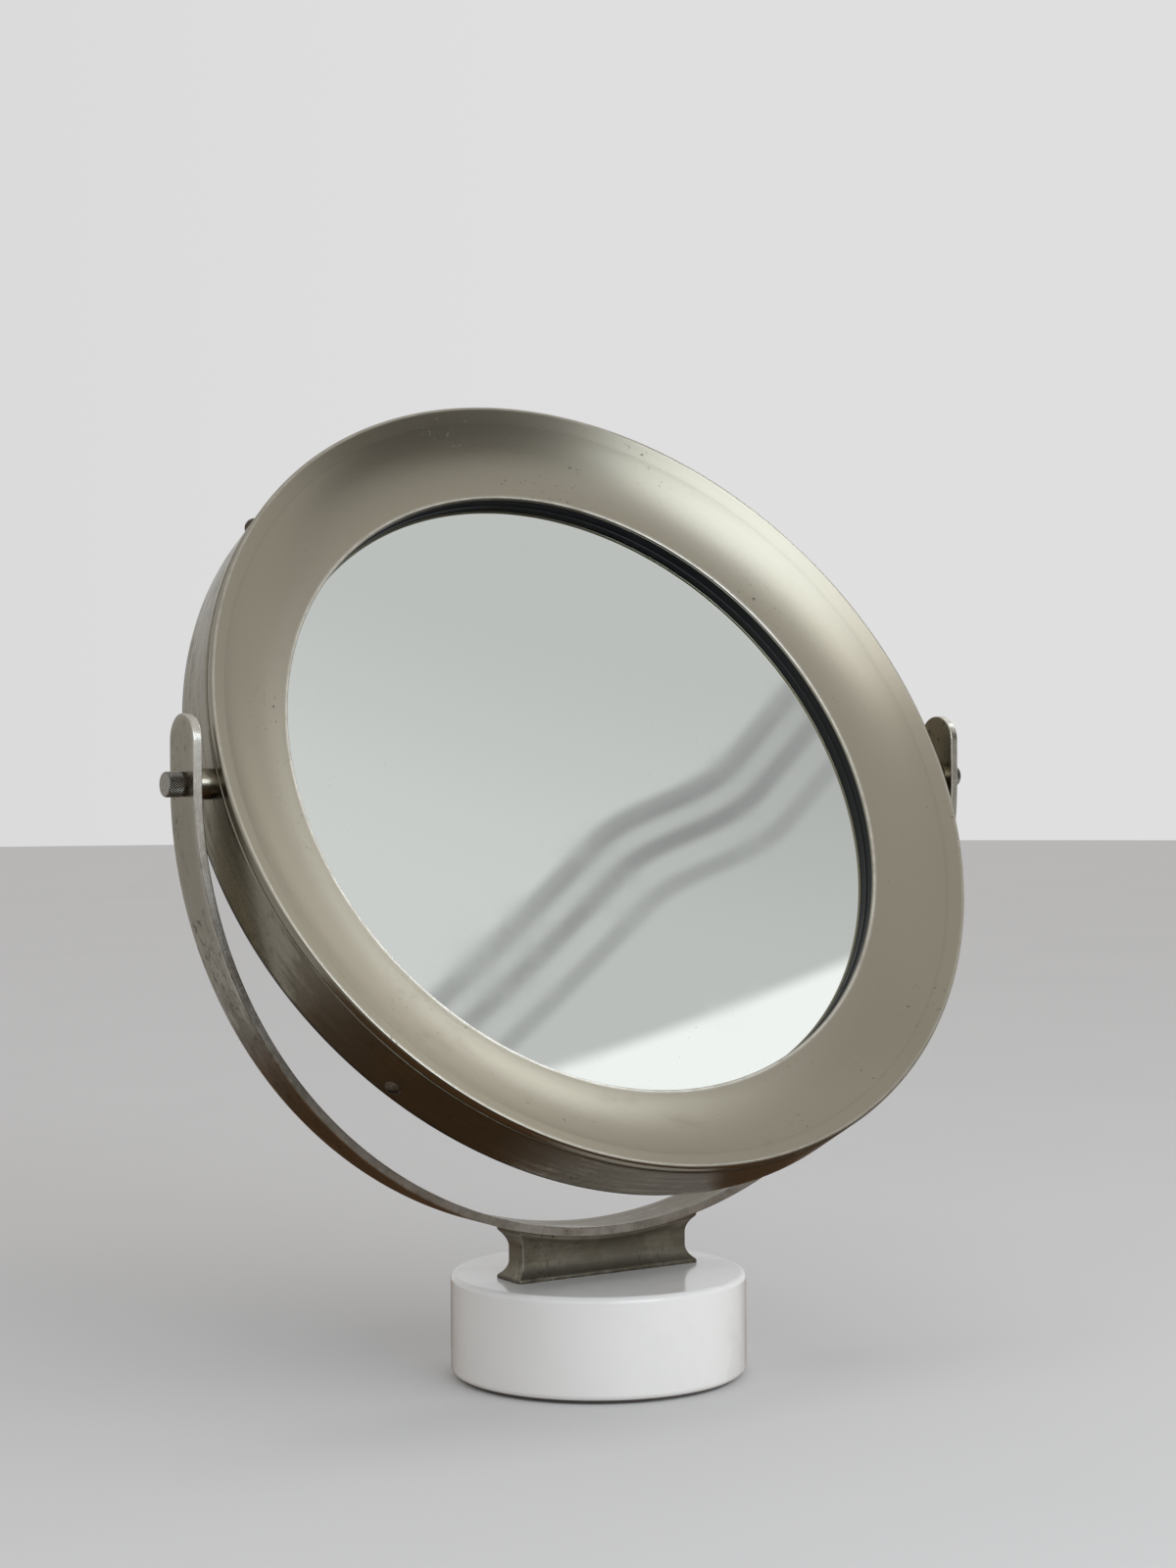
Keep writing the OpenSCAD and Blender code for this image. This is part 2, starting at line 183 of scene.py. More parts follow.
class MirrorStudio(bpy.types.PropertyGroup):
    """Floor, lights and camera."""

    floor: tint("Floor", (0.70, 0.69, 0.68), "Colour of the plain floor")
    room: tint("Room", (0.74, 0.74, 0.745), "Colour of the plain room")
    room_light: FloatProperty(name="Room light", default=1.0, min=0.0, max=10.0,
                              description="Strength of the even room light")
    window_light: FloatProperty(name="Window light", default=1.0, min=0.0, max=10.0,
                                description="Share of full strength of the soft boxes")
    camera_from: FloatVectorProperty(name="Camera", default=(-0.7777, -1.1846, 0.3123),
                                     size=3, subtype="TRANSLATION",
                                     description="Where the camera stands")
    camera_turn: FloatProperty(name="Turn", default=radians(33.13), subtype="ANGLE",
                               description="Camera's heading, from +Y towards +X")
    camera_dip: FloatProperty(name="Dip", default=radians(0.54), subtype="ANGLE",
                              description="How far the camera looks down")
    camera_roll: FloatProperty(name="Roll", default=radians(-0.32), subtype="ANGLE",
                               description="Camera's roll")
    camera_lens: FloatProperty(name="Lens", default=42.76, min=10.0, max=300.0,
                               description="Focal length in mm on a sensor 24 mm high")


GROUPS = {
    "mirror_head": MirrorHeadSizes,
    "mirror_stand": MirrorStandSizes,
    "mirror_finishes": MirrorFinishes,
    "mirror_studio": MirrorStudio,
}


def settings(name):
    return getattr(bpy.context.scene, name)


# ---------------------------------------------------------------- outlines and surfaces


def straight(a, b, hold=0.00015):
    """Points from a to b, with one more close to each end to hold the flat beside a bend."""
    a, b = np.array(a, float), np.array(b, float)
    gap = min(hold / max(np.linalg.norm(b - a), 1e-9), 0.25)
    t = np.array([0.0, gap, 0.5, 1.0 - gap, 1.0])
    return a + t[:, None] * (b - a)


def bend(centre, radius, start, end, steps):
    """Points along an arc: centre + radius * (cos, sin) as the angle runs in degrees."""
    a = np.radians(np.linspace(start, end, steps + 1))
    return np.array(centre) + radius * np.stack([np.cos(a), np.sin(a)], 1)


def outline(*stretches, closed=True):
    """Stretches joined end to end; a closed outline repeats its first point."""
    points = np.concatenate(stretches)
    return np.concatenate([points, points[:1]]) if closed else points


def run_length(points):
    """Distance along a line of points."""
    steps = np.linalg.norm(np.diff(points, axis=0), axis=1)
    return np.concatenate([[0.0], np.cumsum(steps)])


class Skin:
    """A surface patch on a grid of points, with the data its finish reads.

    uv runs along the brushing and across it. grain is a place in a space where the
    brushing's streaks don't meet a seam. relief is 0 in hollows, a half on plain metal
    and 1 on edges; finishes paint edges pale, partly rubbed bright and partly painted
    highlight, and hollows dark, partly dirt and partly painted shade.
    """

    def __init__(self, points, uv, grain=None, relief=None):
        rows, cols = points.shape[:2]
        i, j = np.meshgrid(np.arange(rows - 1), np.arange(cols - 1), indexing="ij")
        corner = (i * cols + j).ravel()
        self.faces = np.stack([corner, corner + cols, corner + cols + 1, corner + 1], 1)
        self.points = points.reshape(-1, 3)
        self.uv = uv.reshape(-1, 2)
        self.grain = points.reshape(-1, 3) if grain is None else grain.reshape(-1, 3)
        self.relief = np.full(rows * cols, 0.5) if relief is None else relief.ravel()
        # Faces point outwards: a closed skin's volume, summed over its faces, is positive.
        p = self.points[self.faces]
        if np.einsum("ij,ij->", np.cross(p[:, 2] - p[:, 0], p[:, 3] - p[:, 1]),
                     p.mean(1) - self.points.mean(0)) < 0:
            self.faces = self.faces[:, ::-1]


def make_piece(name, skins, material, body, stands_for):
    """One object from its skins: doubles merged, smooth, sharp past 35 degrees, on its body."""
    first = np.cumsum([0] + [len(s.points) for s in skins[:-1]])
    faces = np.concatenate([s.faces + f for s, f in zip(skins, first)])
    mesh = bpy.data.meshes.new(name)
    mesh.from_pydata(np.concatenate([s.points for s in skins]), [], faces)
    uv = np.concatenate([s.uv for s in skins])[faces.ravel()]
    mesh.uv_layers.new(name="Brushing").uv.foreach_set("vector", uv.astype(np.float32).ravel())
    grain = np.concatenate([s.grain for s in skins]).astype(np.float32)
    mesh.attributes.new("grain", "FLOAT_VECTOR", "POINT").data.foreach_set("vector", grain.ravel())
    relief = np.concatenate([s.relief for s in skins]).astype(np.float32)
    mesh.attributes.new("relief", "FLOAT", "POINT").data.foreach_set("value", relief)
    work = bmesh.new()
    work.from_mesh(mesh)
    bmesh.ops.remove_doubles(work, verts=work.verts, dist=2e-7)
    bmesh.ops.dissolve_degenerate(work, edges=work.edges, dist=1e-7)
    work.to_mesh(mesh)
    work.free()
    mesh.shade_smooth()
    mesh.set_sharp_from_angle(angle=radians(35))
    mesh.materials.append(material)
    piece = bpy.data.objects.new(name, mesh)
    bpy.context.scene.collection.objects.link(piece)
    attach(piece, body)
    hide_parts(*stands_for)
    return piece


def relief_spots(profile, spots, reach=0.0014):
    """Relief along a profile: a half, plus each spot's amount, which fades within reach."""
    level = np.full(len(profile), 0.5)
    for spot, amount in spots:
        gap = np.linalg.norm(profile - np.array(spot), axis=1)
        level += amount * np.clip(1 - gap / reach, 0, 1)
    return np.clip(level, 0, 1)


def lathe(profile, place, turns=480, streak=10.0, relief=None):
    """A profile (radius, height) turned once: place((r cos a, r sin a, h)) for every angle a.

    Along the brushing u is the angle; across it v is the run along the profile. The grain
    is (streak cos a, streak sin a, run), which joins up after a full turn.
    """
    a = np.linspace(0, 2 * pi, turns + 1)[:, None]
    r, h = profile[:, 0], profile[:, 1]
    run = run_length(profile)
    ones = np.ones_like(a)
    points = np.stack([r * np.cos(a), r * np.sin(a), h * ones], -1)
    grain = np.stack([streak * np.cos(a) * np.ones_like(r), streak * np.sin(a) * np.ones_like(r),
                      run * ones], -1)
    uv = np.stack([a / (2 * pi) * np.ones_like(r), run * ones], -1)
    return Skin(place(points), uv, grain, None if relief is None else relief * ones)


def upright(points):
    """The lathe's axis is the world's Z."""
    return points


def in_head(points):
    """The lathe's axis is the mirror's own forward axis, through the pivot axis."""
    t = settings("mirror_head").tilt
    x, y, z = np.moveaxis(points, -1, 0)
    return np.stack([x, y * sin(t) - z * cos(t), PIVOT[2] + y * cos(t) + z * sin(t)], -1)


def on_pivot(side):
    """The lathe's axis is the pivot axis, outwards on one side."""

    def place(points):
        x, y, z = np.moveaxis(points, -1, 0)
        return np.stack([side * z, side * y, PIVOT[2] + x], -1)

    return place


# ---------------------------------------------------------------- finishes


class Nodes:
    """Shorthand for adding shader nodes to a tree."""

    def __init__(self, tree):
        self.tree = tree

    def add(self, kind, values=None, **options):
        """A node of this kind; values are numbers, colours or the nodes that feed its sockets."""
        node = self.tree.nodes.new("ShaderNode" + kind)
        for key, value in options.items():
            setattr(node, key, value)
        for key, value in (values or {}).items():
            self.feed(node, key, value)
        return node

    def feed(self, node, key, value):
        if isinstance(key, str) and key not in node.inputs:
            key = key.replace("_", " ")
        socket = node.inputs[key]
        if isinstance(value, bpy.types.Node):
            value = next(s for s in value.outputs if s.enabled)
        if isinstance(value, bpy.types.NodeSocket):
            self.tree.links.new(value, socket)
        elif socket.type == "RGBA" and len(value) == 3:
            socket.default_value = (*value, 1.0)
        else:
            socket.default_value = value

    def place(self, scale=(1, 1, 1)):
        """The piece's own coordinates, stretched."""
        own = self.add("TexCoord").outputs["Object"]
        return self.add("Mapping", {"Vector": own, "Scale": scale})

    def grain(self, along=1.0, across=1.0):
        """The piece's grain attribute, stretched along and across the brushing."""
        at = self.add("Attribute", attribute_name="grain").outputs["Vector"]
        return self.add("VectorMath", {0: at, 1: (along, along, across)}, operation="MULTIPLY")

    def noise(self, at, scale, detail=2.0, roughness=0.5, distortion=0.0):
        return self.add("TexNoise", {"Vector": at, "Scale": scale, "Detail": detail,
                                     "Roughness": roughness, "Distortion": distortion}
                        ).outputs["Fac"]

    def between(self, value, low, high, start=0.0, end=1.0):
        """Value from low to high becomes start to end, eased and held beyond."""
        return self.add("MapRange", {0: value, 1: low, 2: high, 3: start, 4: end},
                        interpolation_type="SMOOTHSTEP")

    def math(self, operation, a, b=0.0):
        return self.add("Math", {0: a, 1: b}, operation=operation)

    def mix(self, share, a, b):
        """Colour a to colour b by the share."""
        node = self.add("Mix", data_type="RGBA")
        for i, value in ((0, share), (6, a), (7, b)):
            self.feed(node, i, value)
        return node.outputs[2]

    def bump(self, height, distance, strength=1.0, under=None):
        values = {"Height": height, "Distance": distance, "Strength": strength}
        if under is not None:
            values["Normal"] = under
        return self.add("Bump", values)


MADE = {}


def once(make):
    """The material that make returns, made the first time it is asked for."""
    if make.__name__ not in MADE:
        MADE[make.__name__] = make()
    return MADE[make.__name__]


class Finish(Nodes):
    """A node material being put together round one Principled shader."""

    def __init__(self, name, **constants):
        self.material = bpy.data.materials.new(name)
        self.material.use_nodes = True
        super().__init__(self.material.node_tree)
        self.tree.nodes.clear()
        self.shader = self.add("BsdfPrincipled", constants)
        out = self.add("OutputMaterial")
        self.tree.links.new(self.shader.outputs[0], out.inputs[0])

    def set(self, **sockets):
        for key, value in sockets.items():
            self.feed(self.shader, key, value)
        return self


BRUSH_SHADOW = (0.16, 0.14, 0.11)
STAIN = (0.085, 0.07, 0.05)
PIT = (0.05, 0.042, 0.032)
# The next two colours paint hollows dark, partly dirt and partly painted shade, and edges pale,
# partly rubbed metal and partly painted highlight.
GRIME_AND_SHADE = (0.05, 0.042, 0.03)
WORN_METAL_AND_HIGHLIGHT = (0.70, 0.67, 0.60)


def small_pits(m, place, cluster):
    """1 in small specks where the cluster noise runs high, else 0."""
    speck = m.between(m.noise(place, 560.0, 2.0, 0.5), 0.675, 0.72)
    return m.math("MULTIPLY", speck, m.between(cluster, 0.53, 0.66))


def wide_stains(m, cluster):
    """1 in soft spots where the cluster noise runs high, else 0."""
    spot = m.between(m.noise(m.place((1.0, 1.0, 0.6)), 300.0, 4.0, 0.62), 0.53, 0.66)
    return m.math("MULTIPLY", spot, m.between(cluster, 0.40, 0.62))


def edges_and_hollows(m, colour, mottle):
    """Colour pale where the relief nears 1 and dark where it nears 0, both broken up: the pale is
    partly rubbed metal and partly painted highlight, the dark partly dirt and partly painted shade.
    """
    relief = m.add("Attribute", attribute_name="relief").outputs["Fac"]
    broken = m.between(mottle, 0.30, 0.62, 0.45, 1.0)
    brightened = m.math("MULTIPLY", m.between(relief, 0.5, 1.0), broken)
    grime_and_shade = m.math("MULTIPLY", m.between(relief, 0.5, 0.0), broken)
    colour = m.mix(m.math("MULTIPLY", brightened, 0.85), colour, WORN_METAL_AND_HIGHLIGHT)
    return m.mix(m.math("MULTIPLY", grime_and_shade, 0.8), colour, GRIME_AND_SHADE)


def nickel(name, along=1.0, across=1.0, dulled=0.5, darker_below=0.0, pits=1.0, streak=1.0,
           spots=0.0, matt=0.0, mottled=0.30, own_grain=True):
    """Aged satin nickel: brushing in two widths, dulled blotches, dark spots and small pits.

    dulled is the share of the surface that has lost its polish. underside darkens and
    roughens the metal towards the bottom. matt adds roughness. mottled breaks up the dulled
    areas' edges.
    own_grain reads the piece's grain attribute, else its coordinates. Edges whose relief
    nears 1 are painted bright, partly rubbed metal and partly painted highlight; hollows
    are painted dark, partly dirt and partly painted shade.
    """
    f = settings("mirror_finishes")
    # A quarter turn stretches the highlights across the brushing instead of along it.
    m = Finish(name, Metallic=1.0, Anisotropic=f.nickel_grain if own_grain else 0.0,
               Anisotropic_Rotation=0.25)
    place = m.place()
    fine = m.grain(along, across) if own_grain else m.place((1, 1, 60))
    brush = m.noise(fine, 2600.0 if not own_grain else 1.0, 3.0, 0.6)
    wide = m.noise(m.grain(along * 0.35, across * 0.22) if own_grain else place, 1.0, 4.0, 0.65)
    cloud = m.noise(place, 13.0, 5.0, 0.62, 0.6)
    mottle = m.noise(place, 95.0, 5.0, 0.7, 0.3)
    # Dulled areas follow the clouds and break up into mottling and streaks at their edges.
    ragged = m.math("ADD", cloud, m.math("MULTIPLY", m.math("SUBTRACT", mottle, 0.5), mottled))
    streaks = m.math("MULTIPLY", m.math("SUBTRACT", wide, 0.5), 0.35 * streak)
    ragged = m.math("ADD", ragged, streaks)
    # The metal gets darker and rougher towards the bottom, below the pivot.
    if darker_below:
        height = m.add("SeparateXYZ", {0: place}).outputs[2]
        ragged = m.math("ADD", ragged, m.between(height, PIVOT[2], 0.10, 0.0, darker_below))
    dull = m.between(ragged, 0.78 - 0.5 * dulled, 1.02 - 0.5 * dulled)
    # Pits are small dark specks in loose clusters; spots are wider, softer stains.
    cluster = m.noise(place, 21.0, 3.0, 0.6)
    pit = m.math("MULTIPLY", small_pits(m, place, cluster), pits)
    colour = m.mix(m.math("MULTIPLY", dull, 0.75), f.nickel, f.tarnish)
    colour = m.mix(m.between(brush, 0.25, 0.75, 0.0, 0.12 * streak), colour, BRUSH_SHADOW)
    if spots:
        colour = m.mix(m.math("MULTIPLY", wide_stains(m, cluster), spots), colour, STAIN)
    # Painted highlight on edges and painted shade in hollows, along with rubbed metal and dirt.
    if own_grain:
        colour = edges_and_hollows(m, colour, mottle)
    colour = m.mix(pit, colour, PIT)
    rough = m.math("ADD", f.nickel_roughness + matt, m.math("MULTIPLY", dull, 0.13))
    rough = m.math("ADD", rough, m.between(wide, 0.3, 0.7, -0.025 * streak, 0.03 * streak))
    rough = m.math("ADD", rough, m.math("MULTIPLY", pit, 0.25))
    bumps = m.bump(brush, 0.00003 * streak)
    bumps = m.bump(m.math("SUBTRACT", 1.0, pit), 0.0001, under=bumps)
    if own_grain:
        m.set(Tangent=m.add("Tangent", direction_type="UV_MAP", uv_map="Brushing"))
    m.set(Base_Color=colour, Roughness=rough, Normal=bumps)
    return m.material


def knurled_nickel():
    """Nickel bright on the knurl's crests and near black in its grooves: painted highlight and
    painted shade, along with rubbed metal and dirt.
    """
    m = Finish("Knurled nickel", Metallic=1.0)
    crest = m.add("Attribute", attribute_name="relief").outputs["Fac"]
    grime_and_shade = m.noise(m.place(), 900.0, 3.0, 0.6)
    clean = m.between(m.math("ADD", crest, m.math("MULTIPLY", grime_and_shade, 0.25)), 0.35, 0.85)
    # Near black in the grooves is painted shade with dirt; the pale crests are painted highlight
    # with rubbed metal.
    colour = m.mix(clean, (0.015, 0.012, 0.008), (0.62, 0.59, 0.52))
    m.set(Base_Color=colour, Roughness=m.between(clean, 0.0, 1.0, 0.60, 0.34),
          Normal=m.bump(grime_and_shade, 0.00003))
    return m.material


def polished_marble():
    """White marble: a warm ground, soft grey clouds, a few thin veins and a wet polish."""
    f = settings("mirror_finishes")
    m = Finish("Polished marble", Subsurface_Weight=0.10, Subsurface_Radius=(0.012, 0.011, 0.010),
               Subsurface_Scale=0.3, IOR=1.52, Coat_Weight=0.15, Coat_Roughness=0.05)
    place = m.place()
    warp = m.add("VectorMath", {0: place, 1: m.add("VectorMath", {
        0: m.add("TexNoise", {"Vector": place, "Scale": 16.0, "Detail": 3.0}).outputs["Color"],
        1: (0.05, 0.05, 0.05)}, operation="MULTIPLY")}, operation="ADD")
    cloud = m.noise(warp, 22.0, 6.0, 0.62, 0.4)
    crystal = m.noise(place, 1500.0, 2.0, 0.7)
    vein = m.add("TexWave", {"Vector": warp, "Scale": 3.2, "Distortion": 9.0, "Detail": 4.0,
                             "Detail Scale": 1.6, "Detail Roughness": 0.62},
                 bands_direction="DIAGONAL").outputs["Fac"]
    thin = m.math("MULTIPLY", m.between(vein, 0.965, 1.0), m.between(cloud, 0.42, 0.66))
    colour = m.mix(m.between(cloud, 0.40, 0.80, 0.0, 0.16), f.marble, f.vein)
    colour = m.mix(m.math("MULTIPLY", thin, 0.16), colour, (0.42, 0.40, 0.385))
    colour = m.mix(m.between(crystal, 0.35, 0.75, 0.0, 0.05), colour, (0.95, 0.95, 0.95))
    rough = m.between(m.noise(place, 60.0, 4.0, 0.6), 0.3, 0.8, 0.10, 0.22)
    m.set(Base_Color=colour, Roughness=rough, Normal=m.bump(cloud, 0.00012))
    return m.material


def silvered_glass():
    """Silvered glass: a clear reflection with a faint green cast, a haze and a little dust."""
    f = settings("mirror_finishes")
    m = Finish("Silvered glass", Metallic=1.0, IOR=1.5)
    place = m.place()
    haze = m.between(m.noise(place, 14.0, 5.0, 0.6), 0.42, 0.75, 0.012, 0.05)
    dust = m.between(m.noise(place, 900.0, 1.0, 0.5), 0.76, 0.80, 0.0, 0.35)
    m.set(Base_Color=m.mix(dust, f.glass, (0.42, 0.42, 0.40)),
          Roughness=m.math("ADD", haze, m.math("MULTIPLY", dust, 0.3)))
    return m.material


def black_rubber():
    """Moulded rubber: near black, faint bloom on its crests, fine grain."""
    f = settings("mirror_finishes")
    m = Finish("Black rubber", Specular_IOR_Level=0.22)
    place = m.place()
    bloom = m.between(m.noise(place, 120.0, 4.0, 0.65), 0.45, 0.8, 0.0, 0.5)
    m.set(Base_Color=m.mix(bloom, f.rubber, (0.014, 0.0145, 0.017)),
          Roughness=m.between(bloom, 0.0, 0.5, 0.36, 0.5),
          Normal=m.bump(m.noise(place, 2500.0, 2.0), 0.00003))
    return m.material


def black_enamel():
    """Sprayed black enamel: slight orange peel, and scuffs where the cover has been laid down."""
    f = settings("mirror_finishes")
    m = Finish("Black enamel", Coat_Weight=0.25, Coat_Roughness=0.12)
    place = m.place()
    scuff = m.between(m.noise(m.place((1.0, 9.0, 9.0)), 60.0, 6.0, 0.75), 0.60, 0.74)
    m.set(Base_Color=m.mix(m.math("MULTIPLY", scuff, 0.35), f.enamel, (0.085, 0.082, 0.078)),
          Roughness=m.between(scuff, 0.0, 1.0, 0.34, 0.60),
          Normal=m.bump(m.noise(place, 700.0, 2.0, 0.5), 0.00005))
    return m.material


def pressed_felt():
    """Felt: matted fibres in two sizes with a soft sheen."""
    f = settings("mirror_finishes")
    m = Finish("Pressed felt", Roughness=0.95, Sheen_Weight=0.4, Sheen_Roughness=0.6)
    fibre = m.noise(m.place((1.0, 1.0, 3.0)), 1400.0, 5.0, 0.75, 1.5)
    lump = m.noise(m.place(), 180.0, 3.0)
    m.set(Base_Color=m.mix(fibre, f.felt, (0.11, 0.095, 0.08)),
          Normal=m.bump(m.math("ADD", fibre, lump), 0.0003))
    return m.material


def blackened_steel():
    """Chemically blackened steel, rubbed to brown metal in places."""
    f = settings("mirror_finishes")
    m = Finish("Blackened steel", Metallic=0.85)
    brightened = m.between(m.noise(m.place(), 420.0, 5.0, 0.7), 0.52, 0.72)
    m.set(Base_Color=m.mix(brightened, f.blackening, (0.20, 0.165, 0.125)),
          Roughness=m.between(brightened, 0.0, 1.0, 0.50, 0.33),
          Normal=m.bump(brightened, 0.00003))
    return m.material


def zinc_plate():
    """Zinc-plated steel: crystalline patches and a slight bloom."""
    f = settings("mirror_finishes")
    m = Finish("Zinc plate", Metallic=1.0)
    place = m.place()
    patch = m.add("TexVoronoi", {"Vector": place, "Scale": 420.0}).outputs["Color"]
    bloom = m.between(m.noise(place, 160.0, 4.0), 0.45, 0.75)
    m.set(Base_Color=m.mix(m.math("MULTIPLY", bloom, 0.5), f.zinc, (0.36, 0.36, 0.35)),
          Roughness=m.between(m.add("SeparateColor", {0: patch}).outputs[0], 0.0, 1.0, 0.28, 0.46),
          Normal=m.bump(bloom, 0.00002))
    return m.material


def pressed_board():
    """Hardboard: brown pressed fibre with paler flecks."""
    f = settings("mirror_finishes")
    m = Finish("Pressed board", Roughness=0.8)
    fleck = m.noise(m.place((1.0, 3.0, 3.0)), 500.0, 5.0, 0.8)
    m.set(Base_Color=m.mix(m.between(fleck, 0.4, 0.8), f.board, (0.34, 0.21, 0.12)),
          Normal=m.bump(fleck, 0.0001))
    return m.material


def give_finish(node, material):
    """The CAD node keeps its own mesh and takes this material."""
    part = frame["nodes"][node]
    if not part.material_slots:
        part.data.materials.append(material)
    for slot in part.material_slots:
        slot.material = material


# ---------------------------------------------------------------- sections of the head


Dish = namedtuple("Dish", "centre lip crease lip_turn crease_turn")


def dish_section(h):
    """The dished face's arc, from the lip to the crease where the outer band begins."""
    lip = np.array([h.band_radius - h.ring_width + h.ring_sheet / 2, -h.lip_back])
    crest = h.band_radius - h.rim_bead
    crease = np.array([crest - h.rim_band, h.rim_front - h.rim_band * tan(h.rim_slope)])
    chord = crease - lip
    span = hypot(*chord)
    off = sqrt(h.dish_radius**2 - span**2 / 4)
    centre = (lip + crease) / 2 + off * np.array([-chord[1], chord[0]]) / span
    turns = [np.degrees(atan2(*(p - centre)[::-1])) for p in (lip, crease)]
    return Dish(centre, lip, crease, *turns)


def ring_profile(h):
    """Beaded lip, dished face, flatter outer band, beaded rim, hem and skirt, round the sheet."""
    dish = dish_section(h)
    lip_turn, crease_turn = dish.lip_turn, dish.crease_turn
    half = h.ring_sheet / 2
    spread = np.array([cos(radians(lip_turn)), sin(radians(lip_turn))])
    lip_centre = dish.centre + (h.dish_radius + half) * spread
    slope = np.degrees(h.rim_slope)
    rim = np.array([h.band_radius - h.rim_bead, h.rim_front - h.rim_bead])
    rim_start = rim + h.rim_bead * np.array([-sin(h.rim_slope), cos(h.rim_slope)])
    hem = h.band_radius - h.hem_step
    hem_turn = np.degrees(np.arccos((hem - rim[0]) / h.rim_bead))
    hem_top = rim[1] - 0.0009
    edge = 0.0005  # radius where the hem turns in to the seam
    seam = h.band_front + GAP
    skirt = h.band_radius - h.band_sheet - GAP
    inside = skirt - h.skirt_sheet
    inner_bend = dish.crease[1] - h.ring_sheet - 0.0006
    return outline(
        bend(lip_centre, half, lip_turn + 360, lip_turn + 180, 16),
        bend(dish.centre, h.dish_radius, lip_turn, crease_turn, 40),
        straight(dish.crease, rim_start, 0.001),
        bend(rim, h.rim_bead, 90 + slope, -hem_turn, 16),
        straight((hem, hem_top), (hem, seam + edge)),
        bend((hem - edge, seam + edge), edge, 0, -90, 5),
        straight((hem - edge - GAP, seam), (skirt, seam)),
        straight((skirt, seam - GAP), (skirt, h.skirt_back)),
        straight((inside, h.skirt_back), (inside, inner_bend)),
        bend(dish.centre, h.dish_radius + h.ring_sheet, crease_turn, lip_turn, 24),
    )


def band_profile(h):
    """A flat hoop's section with rounded outer edges."""
    r, inner, e = h.band_radius, h.band_radius - h.band_sheet, h.band_edge
    front, back = h.band_front, -h.band_back
    worn_edge = 0.0014
    return outline(
        straight((inner, back), (r - e, back)),
        bend((r - e, back + e), e, -90, 0, 6),
        straight((r, back + e), (r, front - e), worn_edge),
        bend((r - e, front - e), e, 0, 90, 6),
        straight((r - e, front), (inner, front)),
        straight((inner, front), (inner, back)),
    )


def cover_profile(h):
    """Pressed cover from its middle out: raised middle, soft step, flat rim and rolled edge."""
    seat = -h.band_back - GAP
    rear = seat - h.cover_sheet
    core, middle, step = 0.02, 0.155, 0.006
    beside = np.array([0.0005, 0])
    edge = h.band_radius - 0.0003
    s = np.linspace(0, 1, 13)
    ease = s * s * (3 - 2 * s)
    across = middle + step * s
    behind = np.stack([across, rear + h.cover_press * (1 - ease)], 1)
    before = np.stack([across, seat + h.cover_press * (1 - ease)], 1)[::-1]
    half = h.cover_sheet / 2
    return outline(
        [(0, rear + h.cover_press)],
        straight((core, behind[0, 1]), behind[0] - beside),
        behind,
        straight(behind[-1] + beside, (edge - half, rear)),
        bend((edge - half, rear + half), half, -90, 90, 10),
        straight((edge - half, seat), before[0] + beside),
        before,
        straight(before[-1] - beside, (core, before[-1, 1])),
        [(0, seat + h.cover_press)], closed=False,
    )


def gasket_profile(h):
    """Lining of the recess: a plain wall with a rounded foot on the glass, and a back channel."""
    centre = dish_section(h).centre
    foot_reach, foot_share = 0.0005, 0.16
    wall = h.band_radius - h.ring_width + 0.0004
    glass = -h.lip_back - h.recess
    channel = h.glass_radius + GAP
    back = glass - h.glass_sheet
    near, far = wall + 0.0012, h.glass_radius + 0.0022
    under = h.dish_radius + h.ring_sheet + GAP
    height = -h.lip_back - h.ring_sheet - GAP
    s = np.linspace(0, 1, 41)
    foot = foot_reach * np.sqrt(np.clip(1 - (s / foot_share) ** 2, 0, 1))
    inner = np.stack([wall + foot_reach - foot, glass + (height - glass) * s], 1)
    near_turn, far_turn = [-np.degrees(np.arccos((r - centre[0]) / under)) for r in (near, far)]
    return outline(
        inner,
        bend(centre, under, near_turn, far_turn, 12),
        straight((far, height + 0.001), (far, back)),
        straight((far, back), (channel, back)),
        straight((channel, back), (channel, glass)),
        straight((channel, glass), inner[0]),
    )


# ---------------------------------------------------------------- surfaces that aren't turned


